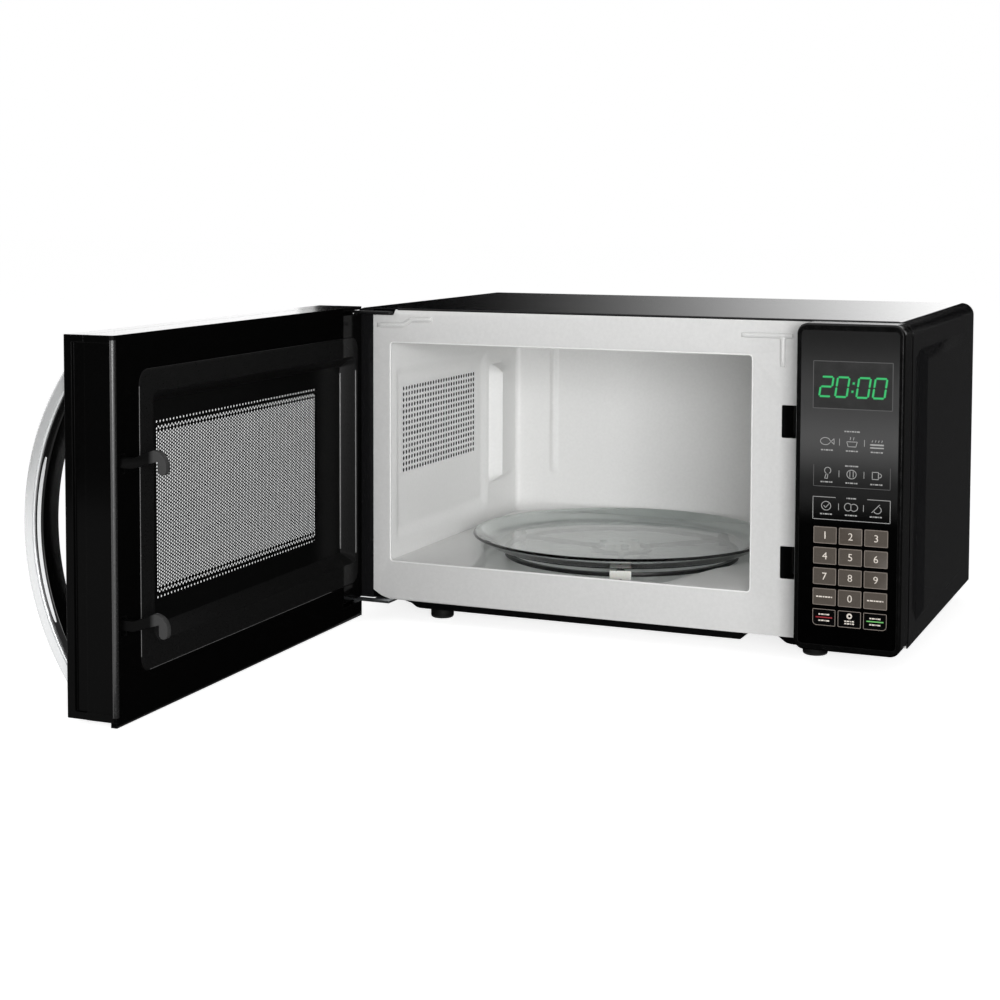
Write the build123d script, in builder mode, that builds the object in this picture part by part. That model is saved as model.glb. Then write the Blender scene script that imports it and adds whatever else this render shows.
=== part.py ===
from build123d import *
import math
import os

os.makedirs("parts", exist_ok=True)

# A microwave oven with its side-hinged door standing open, in millimetres.
# X runs to the right seen from the front, Y to the back, Z up; the feet stand on Z = 0.

# Turntable and cavity, which set the size of the body around them
TRAY_R = 127.5
TRAY_SIDE_GAP = 23.5
TRAY_FRONT_GAP = 16.0
TRAY_REAR_GAP = 5.0
TRAY_T = 4.0
TRAY_RISE = 12.6
TRAY_SLOPE_W = 23.0
TRAY_LIP_R = 1.4
CAVITY_H = 179.6
CAVITY_CORNER_R = 8.0
MOUTH_R = 5.0
DISH_DEPTH = 11.8
DISH_GAP = 10.0
DISH_MOUTH_W = 156.0
VENT_BLOCK_BACK = 97.8
VENT_BLOCK_RISE = 104.8
VENT_HOLE_R = 2.8
VENT_HOLE_PITCH = 10.2
VENT_COLUMNS = 15
VENT_ROWS = 7

# Sheet metal body
SHEET = 1.0
LEFT_GAP = 32.4
FLOOR_GAP = 32.3
TOP_GAP = 28.6
REAR_SPACE = 5.0
FOOT_H = 16.0
FOOT_R = 9.5
FOOT_CHAMFER = 1.2
FOOT_INSET_LEFT = 69.0
FOOT_INSET_RIGHT = 73.5
FOOT_INSET_Y = 23.0
BOSS_R = 21.0
BOSS_L = 66.0
BOSS_H = 8.0
BOSS_SLOPE = 50.0
BEND_R = 10.0
FLANGE_W = 16.7
EMBOSS_H = 4.5
EMBOSS_SLOPE = 60.0
EMBOSS_FRONT = 32.0
EMBOSS_REAR = 42.0
EMBOSS_LOW = 14.0
EMBOSS_TOP = 22.0
BULGE_H = 8.0
BULGE_INSET_LEFT = 37.0
BULGE_INSET_RIGHT = 123.0
BULGE_INSET_Y = 6.0
BULGE_RAMP_W = 22.0
BULGE_SIDE_W = 6.0

# Control panel
PANEL_W = 78.5
PANEL_T = 28.0
PANEL_WALL = 2.5
PANEL_EDGE_R = 8.0
PANEL_FRONT_R = 2.0
PANEL_TOP_GAP = 0.7
PANEL_DROP = 1.5
OVERLAY_T = 1.2
OVERLAY_MARGIN_X = 3.5
OVERLAY_MARGIN_Z = 5.0
OVERLAY_R = 3.0
KEY_W = 17.2
KEY_H = 12.6
KEY_R = 0.8
KEY_T = 0.8
KEY_GAP_X = 1.4
KEY_GAP_Z = 2.6
KEY_PROUD = 0.5
KEY_TRAVEL = 0.5
KEYPAD_LEFT = 14.3
KEYPAD_BOTTOM = 19.2
STEM_R = 1.8
STEM_L = 4.7
DISPLAY_W = 57.0
DISPLAY_H = 34.0
DISPLAY_DROP = 27.7
DISPLAY_LIP = 3.0
BOARD_T = 1.6
BOARD_GAP = 1.0
POST_R = 3.0
POST_IN_X = 7.0
POST_IN_Z = 12.0
TACT_W = 6.0
TACT_T = 3.6

# Door
DOOR_ANGLE = 88.7
HINGE_INSET = 3.5
HINGE_FORWARD = 5.5
DOOR_STANDOFF = 2.0
DOOR_END_GAP = 0.5
DOOR_GAP = 2.5
DOOR_DROP = 12.0
DOOR_RISE = 1.0
FRAME_T = 23.0
FRAME_WALL = 4.5
FRAME_STILE = 12.0
FRONT_T = 15.5
FRONT_EDGE_R = 1.2
BEZEL_T = 6.5
GROOVE_DEPTH = 2.5
INSET_DEPTH = 1.0
EDGE_END = 5.0
EDGE_R = 3.0
LIP_T = 4.5
LIP_DROP = 3.2
CHOKE_HINGE = 7.0
CHOKE_FREE = 30.5
CHOKE_LOW = 26.5
CHOKE_TOP = 24.5
CHOKE_R = 10.0
CHOKE_T = 2.0
LAND_HINGE = 4.0
LAND_FREE = 17.0
LAND_LOW = 16.5
LAND_TOP = 15.5
FUNNEL_DEPTH = 10.5
FUNNEL_IN = 8.5
FUNNEL_WALL = 1.6
SCREEN_T = 0.8
SCREEN_COLUMNS = 24
SCREEN_ROWS = 12
SCREEN_PITCH = 10.2
SCREEN_HOLE_R = 3.2
SCREEN_MARGIN = 4.0
SCREEN_CENTRE = (179.0, 135.0)
GLASS_T = 3.2
GLASS_REBATE = 6.0
GLASS_SET_BACK = 4.3
WINDOW_HINGE = 14.0
WINDOW_FREE = 51.0
WINDOW_LOW = 54.0
WINDOW_TOP = 49.5

# Handle bow on the door front
HANDLE_SPAN = 223.0
HANDLE_RISE = 38.2
HANDLE_W = 22.0
HANDLE_EDGE = 7.5
HANDLE_Z = 128.75
HANDLE_T = 9.0
LINER_T = 6.0
LINER_INSET = 1.5

# Hinges
PIN_R = 1.75
PIN_L = 12.0
HINGE_T = 2.0
HINGE_ARM_R = 3.4
HINGE_REACH = 31.5
HINGE_LEG_W = 16.5
HINGE_LEG_L = 22.0
HINGE_TAB_H = 18.0
NOTCH_W = 18.0
NOTCH_H = 4.8
CUT_W = 15.0
CUT_H = 6.7

# Door latch
HOOK_FREE_EDGE = 6.5
HOOK_W = 5.0
HOOK_H = 7.0
HOOK_OUT = 34.5
HOOK_NECK = 9.0
HOOK_RISE = 6.0
HOOK_HEAD_R = 10.0
HOOK_BEAK_W = 6.5
HOOK_DROP = 3.0
HOOK_LOW_Z = 67.5
HOOK_PITCH = 106.7
LEVER_W = 14.0
LEVER_T = 4.0
LEVER_SET = 4.5
LEVER_FREE_EDGE = 5.5
LEVER_OVERHANG = 14.0
LATCH_DOWN = 3.0
LATCH_UP = 1.0
SLOT_W = 12.0
SLOT_ABOVE = 14.0
BRACKET_WALL = 3.0
BRACKET_DEPTH = 39.0
BRACKET_END = 22.0
SWITCH_L = 20.0
SWITCH_H = 10.0
SWITCH_W = 10.0
SWITCH_BACK = 8.0
SWITCH_PITCH = 14.0
SPRING_R = 3.2
SPRING_WIRE = 0.8
SPRING_L = 18.0
SPRING_TURNS = 7

# Turntable drive
RING_INSET = 6.5
RING_W = 4.0
RING_H = 3.0
RING_HUB_R = 24.0
RING_HUB_W = 4.0
SPOKE_W = 5.0
ROLLER_R = 5.5
ROLLER_W = 6.0
ROLLER_COUNT = 3
ROLLER_START = -71.5
AXLE_R = 1.5
CARRIER_W = 17.5
CARRIER_T = 1.5
CARRIER_LOW = 4.3
CARRIER_HIGH = 4.9
CARRIER_NOTCH_R = 2.6
COUPLER_R = 12.0
COUPLER_LOBE_R = 5.0
COUPLER_LOBES = 3
STUB_R = 3.0
STUB_L = 10.0
LUG_R = 4.0
LUG_H = 4.0
MOTOR_R = 25.0
MOTOR_H = 13.0
MOTOR_EAR = 11.0
MOTOR_EAR_T = 2.0

# Microwave supply, fan and small parts in the right-hand compartment
GUIDE_L = 100.0
GUIDE_H = 80.0
GUIDE_T = 18.0
GUIDE_DROP = 23.0
PORT_L = 64.0
PORT_H = 46.0
COVER_T = 0.6
COVER_OVERLAP = 6.0
COVER_R = 3.0
ANTENNA_R = 9.0
ANTENNA_L = 14.0
MAGNETRON_W = 76.0
MAGNETRON_H = 66.0
YOKE_L = 50.0
YOKE_T = 2.0
FIN_T = 1.0
FIN_COUNT = 7
ANODE_R = 18.0
FILTER_L = 22.0
FILTER_W = 60.0
CORE_W = 78.0
CORE_L = 60.0
CORE_H = 64.0
CORE_FOOT_T = 2.0
CORE_FOOT_OUT = 6.0
CORE_BACK = 91.5
WINDING_OUT = 11.0
WINDING_W = 52.0
WINDING_H = 48.0
WINDING_R = 6.0
CAPACITOR_W = 52.0
CAPACITOR_D = 32.0
CAPACITOR_H = 58.0
CAPACITOR_IN = 78.0
TERMINAL_R = 2.5
TERMINAL_PITCH = 26.0
TERMINAL_H = 8.0
FAN_R = 44.0
FAN_TIP_GAP = 4.0
FAN_HUB_R = 11.0
FAN_HUB_L = 14.0
FAN_BLADES = 5
FAN_SHAFT_R = 1.6
BLADE_T = 1.6
BLADE_W = 18.0
BLADE_ROOT_R = 9.0
BLADE_PITCH = 32.0
SHROUD_W = 106.0
SHROUD_GAP = 13.6
SHROUD_T = 2.0
SHROUD_D = 32.0
FAN_MOTOR_W = 58.0
FAN_MOTOR_H = 50.0
FAN_MOTOR_T = 18.0
FAN_LEG_L = 7.0
FAN_LEG_W = 8.0
FAN_LEG_T = 3.0
LAMP_W = 22.0
LAMP_L = 20.0
LAMP_WALL = 1.5
LAMP_R = 8.0
BULB_L = 12.0
LAMP_HOLE_R = 1.3
LAMP_HOLE_PITCH = 4.0
CUTOUT_R = 9.0
CUTOUT_H = 9.0
CUTOUT_EARS = 29.0
CUTOUT_IN = 40.0
CUTOUT_BACK = 50.0
FILTER_BOARD_W = 70.0
FILTER_BOARD_L = 56.0
FILTER_PITCH = 23.0
FILTER_PART_W = 14.0
FILTER_PART_L = 20.0
FILTER_PART_H = 10.0
FILTER_PART_R = 3.0
GLAND_R = 8.0
GLAND_BORE_R = 4.5
GLAND_LIP = 3.0
GLAND_INSET = 27.0
GLAND_RISE = 44.0
SCREW_HEAD_R = 3.6
SCREW_HEAD_H = 2.0
SCREW_EDGE_R = 1.2
SCREW_R = 1.9
SCREW_L = 4.0
SCREW_INSET = 14.0
VENT_L = 26.0
VENT_W = 4.0
VENT_PITCH_X = 34.0
VENT_PITCH_Z = 9.0
TOP_VENT_DROP = 46.0

# Clearances
RUN_GAP = 0.05
SLIDE_GAP = 0.35
SEAT_GAP = 0.2
SWING_GAP = 0.8

# Planes and places of the body
CAVITY_W = 2 * (TRAY_R + TRAY_SIDE_GAP)
COMPARTMENT_W = SHROUD_W + SHROUD_GAP
BODY_W = LEFT_GAP + CAVITY_W + COMPARTMENT_W
BODY_H = FLOOR_GAP + CAVITY_H + TOP_GAP
BODY_D = TRAY_FRONT_GAP + 2 * TRAY_R + TRAY_REAR_GAP + REAR_SPACE + 2 * SHEET
LEFT = -BODY_W / 2
RIGHT = BODY_W / 2
FRONT_Y = -BODY_D / 2
REAR_Y = BODY_D / 2
BASE_Z = FOOT_H
TOP_Z = FOOT_H + BODY_H
PLATE_BACK = FRONT_Y + SHEET
PANEL_BACK = REAR_Y - SHEET
PLATE_LEFT = LEFT + FLANGE_W
PLATE_TOP = TOP_Z - SHEET
CAVITY_LEFT = LEFT + LEFT_GAP
CAVITY_RIGHT = CAVITY_LEFT + CAVITY_W
CAVITY_WALL = CAVITY_RIGHT + SHEET
CAVITY_FLOOR = BASE_Z + FLOOR_GAP
CAVITY_ROOF = CAVITY_FLOOR + CAVITY_H
CAVITY_BACK = PANEL_BACK - REAR_SPACE - SHEET
TRACK_Z = CAVITY_FLOOR - DISH_DEPTH
TURN_X = (CAVITY_LEFT + CAVITY_RIGHT) / 2
TURN_Y = FRONT_Y + TRAY_FRONT_GAP + TRAY_R
RING_R = TRAY_R - TRAY_SLOPE_W - RING_INSET
CARRIER_R = RING_R + RING_W / 2 + ROLLER_W + 2 * SLIDE_GAP
DISH_R = CARRIER_R + CARRIER_T + DISH_GAP
AXLE_Z = TRACK_Z + SEAT_GAP + ROLLER_R
TRAY_Z = AXLE_Z + ROLLER_R + SEAT_GAP

# Planes and places of the control panel
PANEL_LEFT = RIGHT - PANEL_W
PANEL_FRONT = FRONT_Y - PANEL_T
PANEL_X = (PANEL_LEFT, RIGHT)
PANEL_Z = (BASE_Z - PANEL_DROP, TOP_Z - PANEL_TOP_GAP)
OVERLAY_BACK = PANEL_FRONT + OVERLAY_T
WALL_BACK = OVERLAY_BACK + PANEL_WALL
KEY_FRONT = PANEL_FRONT - KEY_PROUD
KEY_PITCH_X = KEY_W + KEY_GAP_X
KEY_PITCH_Z = KEY_H + KEY_GAP_Z
KEYPAD_X = PANEL_LEFT + KEYPAD_LEFT + KEY_W / 2
KEYPAD_Z = PANEL_Z[0] + KEYPAD_BOTTOM + KEY_H / 2
DISPLAY_X = KEYPAD_X + KEY_PITCH_X
DISPLAY_Z = PANEL_Z[1] - DISPLAY_DROP - DISPLAY_H / 2
STEM_END = KEY_FRONT + KEY_T + STEM_L
BOARD_FRONT = STEM_END + KEY_TRAVEL + SLIDE_GAP + TACT_T

# Planes and places of the door, along it from the hinge, up it and out of its front
HINGE_X = LEFT + HINGE_INSET
HINGE_Y = FRONT_Y - HINGE_FORWARD
DOOR_IN = DOOR_STANDOFF - HINGE_FORWARD
DOOR_MID = DOOR_IN + FRAME_T
DOOR_OUT = DOOR_MID + FRONT_T
DOOR_END = DOOR_END_GAP - HINGE_INSET
DOOR_FREE = PANEL_LEFT - DOOR_GAP - HINGE_X
DOOR_LOW = BASE_Z - DOOR_DROP
DOOR_TOP = TOP_Z + DOOR_RISE
CHOKE_ALONG = (DOOR_END + CHOKE_HINGE, DOOR_FREE - CHOKE_FREE)
CHOKE_UP = (DOOR_LOW + CHOKE_LOW, DOOR_TOP - CHOKE_TOP)
LAND_ALONG = (CHOKE_ALONG[0] + LAND_HINGE, CHOKE_ALONG[1] - LAND_FREE)
LAND_UP = (CHOKE_UP[0] + LAND_LOW, CHOKE_UP[1] - LAND_TOP)
SCREEN_OUT = DOOR_IN + FUNNEL_DEPTH
WINDOW_ALONG = (DOOR_END + WINDOW_HINGE, DOOR_FREE - WINDOW_FREE)
WINDOW_UP = (DOOR_LOW + WINDOW_LOW, DOOR_TOP - WINDOW_TOP)
HOOK_ALONG = (DOOR_FREE - HOOK_FREE_EDGE - HOOK_W, DOOR_FREE - HOOK_FREE_EDGE)
HOOK_ZS = (HOOK_LOW_Z, HOOK_LOW_Z + HOOK_PITCH)
SLOT_X = HINGE_X + (HOOK_ALONG[0] + HOOK_ALONG[1]) / 2
UPPER_HINGE_Z = PLATE_TOP - NOTCH_H / 2 - HINGE_T / 2
LOWER_HINGE_Z = BASE_Z - HINGE_T

DOOR_TURN = math.radians(DOOR_ANGLE)
DOOR_PLANE = Plane(
    origin=(HINGE_X, HINGE_Y, 0),
    x_dir=(math.cos(DOOR_TURN), -math.sin(DOOR_TURN), 0),
    z_dir=(-math.sin(DOOR_TURN), -math.cos(DOOR_TURN), 0),
)


def on_door(outward):
    """Plane parallel to the door: x from the hinge to the free edge, y up, z out of the front."""
    return DOOR_PLANE.offset(outward)


def across_door(along):
    """Plane across the door: x out of the door's front, y up, extruding towards the hinge."""
    origin = DOOR_PLANE.from_local_coords((along, 0, 0))
    return Plane(origin=origin, x_dir=DOOR_PLANE.z_dir, z_dir=-DOOR_PLANE.x_dir)


def facing_front(y):
    """Upright plane at depth y: x to the right, y up, extruding towards the front."""
    return Plane.XZ.offset(-y)


def facing_right(x):
    """Upright plane at width x: x to the back, y up, extruding to the right."""
    return Plane.YZ.offset(x)


def rectangle_between(across, up, mode=Mode.ADD):
    """Rectangle given by its edges, in the sketch being drawn."""
    with Locations(((across[0] + across[1]) / 2, (up[0] + up[1]) / 2)):
        Rectangle(across[1] - across[0], up[1] - up[0], mode=mode)


def rounded_between(across, up, radius, mode=Mode.ADD):
    """Rectangle with rounded corners given by its edges, in the sketch being drawn."""
    with Locations(((across[0] + across[1]) / 2, (up[0] + up[1]) / 2)):
        RectangleRounded(across[1] - across[0], up[1] - up[0], radius, mode=mode)


def grown(span, amount):
    """A stretch made longer at both ends."""
    return (span[0] - amount, span[1] + amount)


def save(piece, name):
    """Label a finished piece and write it under its own name."""
    piece.part.label = name
    export_step(piece.part, f"parts/{name}.step")


# Outer cabinet: one sheet bent over both sides and the top, with a flange beside the front plate
with BuildPart() as outer_cabinet:
    with BuildSketch(facing_front(REAR_Y)) as wrap:
        rectangle_between((LEFT, RIGHT), (BASE_Z, TOP_Z))
        fillet(wrap.vertices().group_by(Axis.Y)[-1], BEND_R)
        with BuildSketch(mode=Mode.PRIVATE) as hollow:
            rectangle_between((LEFT + SHEET, RIGHT - SHEET), (BASE_Z - SHEET, TOP_Z - SHEET))
            fillet(hollow.vertices().group_by(Axis.Y)[-1], BEND_R - SHEET)
        add(hollow.sketch, mode=Mode.SUBTRACT)
    extrude(amount=BODY_D)
    with BuildSketch(facing_front(PLATE_BACK)) as flange:
        rectangle_between((LEFT + SHEET / 2, PLATE_LEFT), (BASE_Z, TOP_Z - SHEET / 2))
        fillet(flange.vertices().group_by(Axis.Y)[-1].sort_by(Axis.X)[0], BEND_R - SHEET / 2)
    extrude(amount=SHEET)
    for side in (1, -1):
        field_y = sorted((side * (FRONT_Y + EMBOSS_FRONT), side * (REAR_Y - EMBOSS_REAR)))
        field_z = (BASE_Z + EMBOSS_LOW, TOP_Z - EMBOSS_TOP)
        skin = Plane(origin=(side * RIGHT, 0, 0), x_dir=(0, side, 0), z_dir=(side, 0, 0))
        with BuildSketch(skin):
            rectangle_between(field_y, field_z)
        extrude(amount=EMBOSS_H, taper=EMBOSS_SLOPE)
        with BuildSketch(skin.offset(-SHEET)):
            rectangle_between(field_y, field_z)
        extrude(amount=EMBOSS_H, taper=EMBOSS_SLOPE, mode=Mode.SUBTRACT)
save(outer_cabinet, "outer_cabinet")

# Rear panel: sheet inside the cabinet's rear edge, with vent slots, screw holes and the cord hole
COMPARTMENT_X = (CAVITY_WALL + RIGHT - SHEET) / 2
FAN_Z = CAVITY_ROOF - GUIDE_DROP - GUIDE_H / 2
GLAND_X = RIGHT - GLAND_INSET
GLAND_Z = BASE_Z + GLAND_RISE
SCREW_PLACES = [
    (x, z)
    for x in (LEFT + SCREW_INSET, TURN_X, RIGHT - SCREW_INSET)
    for z in (BASE_Z + SCREW_INSET, TOP_Z - SCREW_INSET)
]
with BuildPart() as rear_panel:
    with BuildSketch(facing_front(REAR_Y)) as back:
        rectangle_between((LEFT + SHEET, RIGHT - SHEET), (BASE_Z + SHEET, TOP_Z - SHEET))
        fillet(back.vertices().group_by(Axis.Y)[-1], BEND_R)
        with Locations((COMPARTMENT_X, FAN_Z)):
            with GridLocations(VENT_PITCH_X, VENT_PITCH_Z, 2, 8):
                SlotOverall(VENT_L, VENT_W, mode=Mode.SUBTRACT)
        with Locations((TURN_X, TOP_Z - TOP_VENT_DROP)):
            with GridLocations(VENT_PITCH_X, VENT_PITCH_Z, 5, 3):
                SlotOverall(VENT_L, VENT_W, mode=Mode.SUBTRACT)
        with Locations((GLAND_X, GLAND_Z)):
            Circle(GLAND_R + SEAT_GAP, mode=Mode.SUBTRACT)
        with Locations(*SCREW_PLACES):
            Circle(SCREW_R + SEAT_GAP, mode=Mode.SUBTRACT)
    extrude(amount=SHEET)
save(rear_panel, "rear_panel")

# Cord gland: flanged bush in the rear panel, with an open bore
with BuildPart() as cord_gland:
    with BuildSketch(facing_front(REAR_Y)):
        with Locations((GLAND_X, GLAND_Z)):
            Circle(GLAND_R)
    extrude(amount=SHEET)
    with BuildSketch(facing_front(REAR_Y)):
        with Locations((GLAND_X, GLAND_Z)):
            Circle(GLAND_R + GLAND_LIP)
    extrude(amount=-GLAND_LIP)
    with BuildSketch(facing_front(PANEL_BACK)):
        with Locations((GLAND_X, GLAND_Z)):
            Circle(GLAND_R + GLAND_LIP)
    extrude(amount=GLAND_LIP)
    with BuildSketch(facing_front(PANEL_BACK - GLAND_LIP)):
        with Locations((GLAND_X, GLAND_Z)):
            Circle(GLAND_BORE_R)
    extrude(amount=-(SHEET + 2 * GLAND_LIP), mode=Mode.SUBTRACT)
save(cord_gland, "cord_gland")

# Cabinet screws: round heads on the rear panel
with BuildPart() as cabinet_screws:
    with BuildSketch(facing_front(REAR_Y)):
        with Locations(*SCREW_PLACES):
            Circle(SCREW_HEAD_R)
    extrude(amount=-SCREW_HEAD_H)
    fillet(cabinet_screws.edges().filter_by(GeomType.CIRCLE).group_by(Axis.Y)[-1], SCREW_EDGE_R)
    with BuildSketch(facing_front(REAR_Y)):
        with Locations(*SCREW_PLACES):
            Circle(SCREW_R)
    extrude(amount=SCREW_L)
save(cabinet_screws, "cabinet_screws")

# Base plate: flat sheet with a shallow bulge, ramped at the left, and a boss for each foot
FOOT_Y = BODY_D / 2 - FOOT_INSET_Y
FOOT_PLACES = [(x, y) for x in (LEFT + FOOT_INSET_LEFT, RIGHT - FOOT_INSET_RIGHT) for y in (-FOOT_Y, FOOT_Y)]
with BuildPart() as base_plate:
    with BuildSketch(Plane.XY.offset(BASE_Z)):
        rectangle_between((LEFT + SHEET, RIGHT - SHEET), (PLATE_BACK, REAR_Y))
    extrude(amount=SHEET)
    for face_z, mode in ((BASE_Z, Mode.ADD), (BASE_Z + SHEET, Mode.SUBTRACT)):
        with BuildSketch(Plane.XY.offset(face_z)):
            rectangle_between(
                (LEFT + BULGE_INSET_LEFT, RIGHT - BULGE_INSET_RIGHT),
                (FRONT_Y + BULGE_INSET_Y, REAR_Y - BULGE_INSET_Y),
            )
        with BuildSketch(Plane.XY.offset(face_z - BULGE_H)):
            rectangle_between(
                (LEFT + BULGE_INSET_LEFT + BULGE_RAMP_W, RIGHT - BULGE_INSET_RIGHT - BULGE_SIDE_W),
                (FRONT_Y + BULGE_INSET_Y + BULGE_SIDE_W, REAR_Y - BULGE_INSET_Y - BULGE_SIDE_W),
            )
        loft(mode=mode)
        with BuildSketch(Plane.XY.offset(face_z)):
            with Locations(*FOOT_PLACES):
                SlotOverall(BOSS_L, 2 * BOSS_R)
        extrude(amount=-BOSS_H, taper=BOSS_SLOPE, mode=mode)
save(base_plate, "base_plate")

# Feet: four turned-down plastic studs under the base plate's bosses
with BuildPart() as feet:
    with BuildSketch(Plane.XY):
        with Locations(*FOOT_PLACES):
            Circle(FOOT_R)
    extrude(amount=FOOT_H - BOSS_H)
    chamfer(feet.edges().filter_by(GeomType.CIRCLE).group_by(Axis.Z)[0], FOOT_CHAMFER)
save(feet, "feet")

# Front plate: notched for the upper hinge, cut back over the lower one, with mouth and latch slots
with BuildPart() as front_plate:
    with BuildSketch(facing_front(PLATE_BACK)) as plate:
        with BuildLine():
            Polyline(
                (PLATE_LEFT, BASE_Z + CUT_H),
                (PLATE_LEFT + CUT_W / 2, BASE_Z + CUT_H / 3),
                (PLATE_LEFT + CUT_W, BASE_Z),
                (RIGHT - SHEET, BASE_Z),
                (RIGHT - SHEET, PLATE_TOP),
                (PLATE_LEFT + NOTCH_W + NOTCH_H / 2, PLATE_TOP),
                (PLATE_LEFT + NOTCH_W, PLATE_TOP - NOTCH_H),
                (PLATE_LEFT, PLATE_TOP - NOTCH_H),
                close=True,
            )
        make_face()
        fillet(plate.vertices().group_by(Axis.X)[-1].sort_by(Axis.Y)[-1], BEND_R)
        rounded_between((CAVITY_LEFT, CAVITY_RIGHT), (CAVITY_FLOOR, CAVITY_ROOF), MOUTH_R, Mode.SUBTRACT)
        for hook_z in HOOK_ZS:
            slot_z = (hook_z - HOOK_H / 2 - HOOK_DROP - SWING_GAP, hook_z + HOOK_H / 2 + SLOT_ABOVE)
            rectangle_between((SLOT_X - SLOT_W / 2, SLOT_X + SLOT_W / 2), slot_z, Mode.SUBTRACT)
    extrude(amount=SHEET)
save(front_plate, "front_plate")

# Cavity box: folded sheet with rounded rear corners, a dish in the floor for the rollers,
# vent holes in the left wall, the microwave port and the lamp's holes in the right wall
GUIDE_Y = TURN_Y
GUIDE_Z = CAVITY_ROOF - GUIDE_DROP - GUIDE_H / 2
LAMP_Y = GUIDE_Y + GUIDE_L / 2 + LAMP_W
LAMP_Z = CAVITY_ROOF - LAMP_W
VENT_Y = FRONT_Y + VENT_BLOCK_BACK
VENT_Z = CAVITY_FLOOR + VENT_BLOCK_RISE


def draw_dish(grow):
    """Round dish that runs out to the mouth at the front, grown by a wall, in the sketch being drawn."""
    with Locations((TURN_X, TURN_Y)):
        Circle(DISH_R + grow)
    Polygon(
        (TURN_X - DISH_R - grow, TURN_Y),
        (TURN_X - DISH_MOUTH_W / 2 - grow, PLATE_BACK),
        (TURN_X + DISH_MOUTH_W / 2 + grow, PLATE_BACK),
        (TURN_X + DISH_R + grow, TURN_Y),
        align=None,
    )


with BuildPart() as cavity_box:
    with BuildSketch(Plane.XY.offset(CAVITY_FLOOR - SHEET)) as shell:
        rectangle_between((CAVITY_LEFT - SHEET, CAVITY_WALL), (PLATE_BACK, CAVITY_BACK + SHEET))
        fillet(shell.vertices().group_by(Axis.Y)[-1], CAVITY_CORNER_R + SHEET)
    extrude(amount=CAVITY_H + 2 * SHEET)
    with BuildSketch(Plane.XY.offset(CAVITY_FLOOR - DISH_DEPTH - SHEET)):
        draw_dish(SHEET)
    extrude(amount=DISH_DEPTH)
    with BuildSketch(Plane.XY.offset(CAVITY_FLOOR)) as room:
        rectangle_between((CAVITY_LEFT, CAVITY_RIGHT), (PLATE_BACK, CAVITY_BACK))
        fillet(room.vertices().group_by(Axis.Y)[-1], CAVITY_CORNER_R)
    extrude(amount=CAVITY_H, mode=Mode.SUBTRACT)
    with BuildSketch(Plane.XY.offset(CAVITY_FLOOR)):
        draw_dish(0)
    extrude(amount=-DISH_DEPTH, mode=Mode.SUBTRACT)
    with BuildSketch(Plane.XY.offset(TRACK_Z)):
        with Locations((TURN_X, TURN_Y)):
            Circle(STUB_R + 2 * SLIDE_GAP)
    extrude(amount=-SHEET, mode=Mode.SUBTRACT)
    with BuildSketch(facing_right(CAVITY_LEFT)):
        with Locations((VENT_Y, VENT_Z)):
            with GridLocations(VENT_HOLE_PITCH, VENT_HOLE_PITCH, VENT_COLUMNS, VENT_ROWS):
                Circle(VENT_HOLE_R)
    extrude(amount=-SHEET, mode=Mode.SUBTRACT)
    with BuildSketch(facing_right(CAVITY_RIGHT)):
        with Locations((GUIDE_Y, GUIDE_Z)):
            Rectangle(PORT_L, PORT_H)
        with Locations((LAMP_Y, LAMP_Z)):
            with GridLocations(LAMP_HOLE_PITCH, LAMP_HOLE_PITCH, 4, 4):
                Circle(LAMP_HOLE_R)
    extrude(amount=SHEET, mode=Mode.SUBTRACT)
save(cavity_box, "cavity_box")

# Waveguide: open-sided sheet duct on the cavity's right wall, with the antenna's hole
GUIDE_FACE = CAVITY_WALL + GUIDE_T
with BuildPart() as waveguide:
    with BuildSketch(facing_right(CAVITY_WALL)):
        with Locations((GUIDE_Y, GUIDE_Z)):
            Rectangle(GUIDE_L, GUIDE_H)
    extrude(amount=GUIDE_T)
    with BuildSketch(facing_right(CAVITY_WALL)):
        with Locations((GUIDE_Y, GUIDE_Z)):
            Rectangle(GUIDE_L - 2 * SHEET, GUIDE_H - 2 * SHEET)
    extrude(amount=GUIDE_T - SHEET, mode=Mode.SUBTRACT)
    with BuildSketch(facing_right(GUIDE_FACE)):
        with Locations((GUIDE_Y, GUIDE_Z)):
            Circle(ANTENNA_R + 2 * SLIDE_GAP)
    extrude(amount=-SHEET, mode=Mode.SUBTRACT)
save(waveguide, "waveguide")

# Waveguide cover: thin mica sheet over the port, inside the cavity
with BuildPart() as waveguide_cover:
    with BuildSketch(facing_right(CAVITY_RIGHT)):
        with Locations((GUIDE_Y, GUIDE_Z)):
            RectangleRounded(PORT_L + 2 * COVER_OVERLAP, PORT_H + 2 * COVER_OVERLAP, COVER_R)
    extrude(amount=-COVER_T)
save(waveguide_cover, "waveguide_cover")

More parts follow.
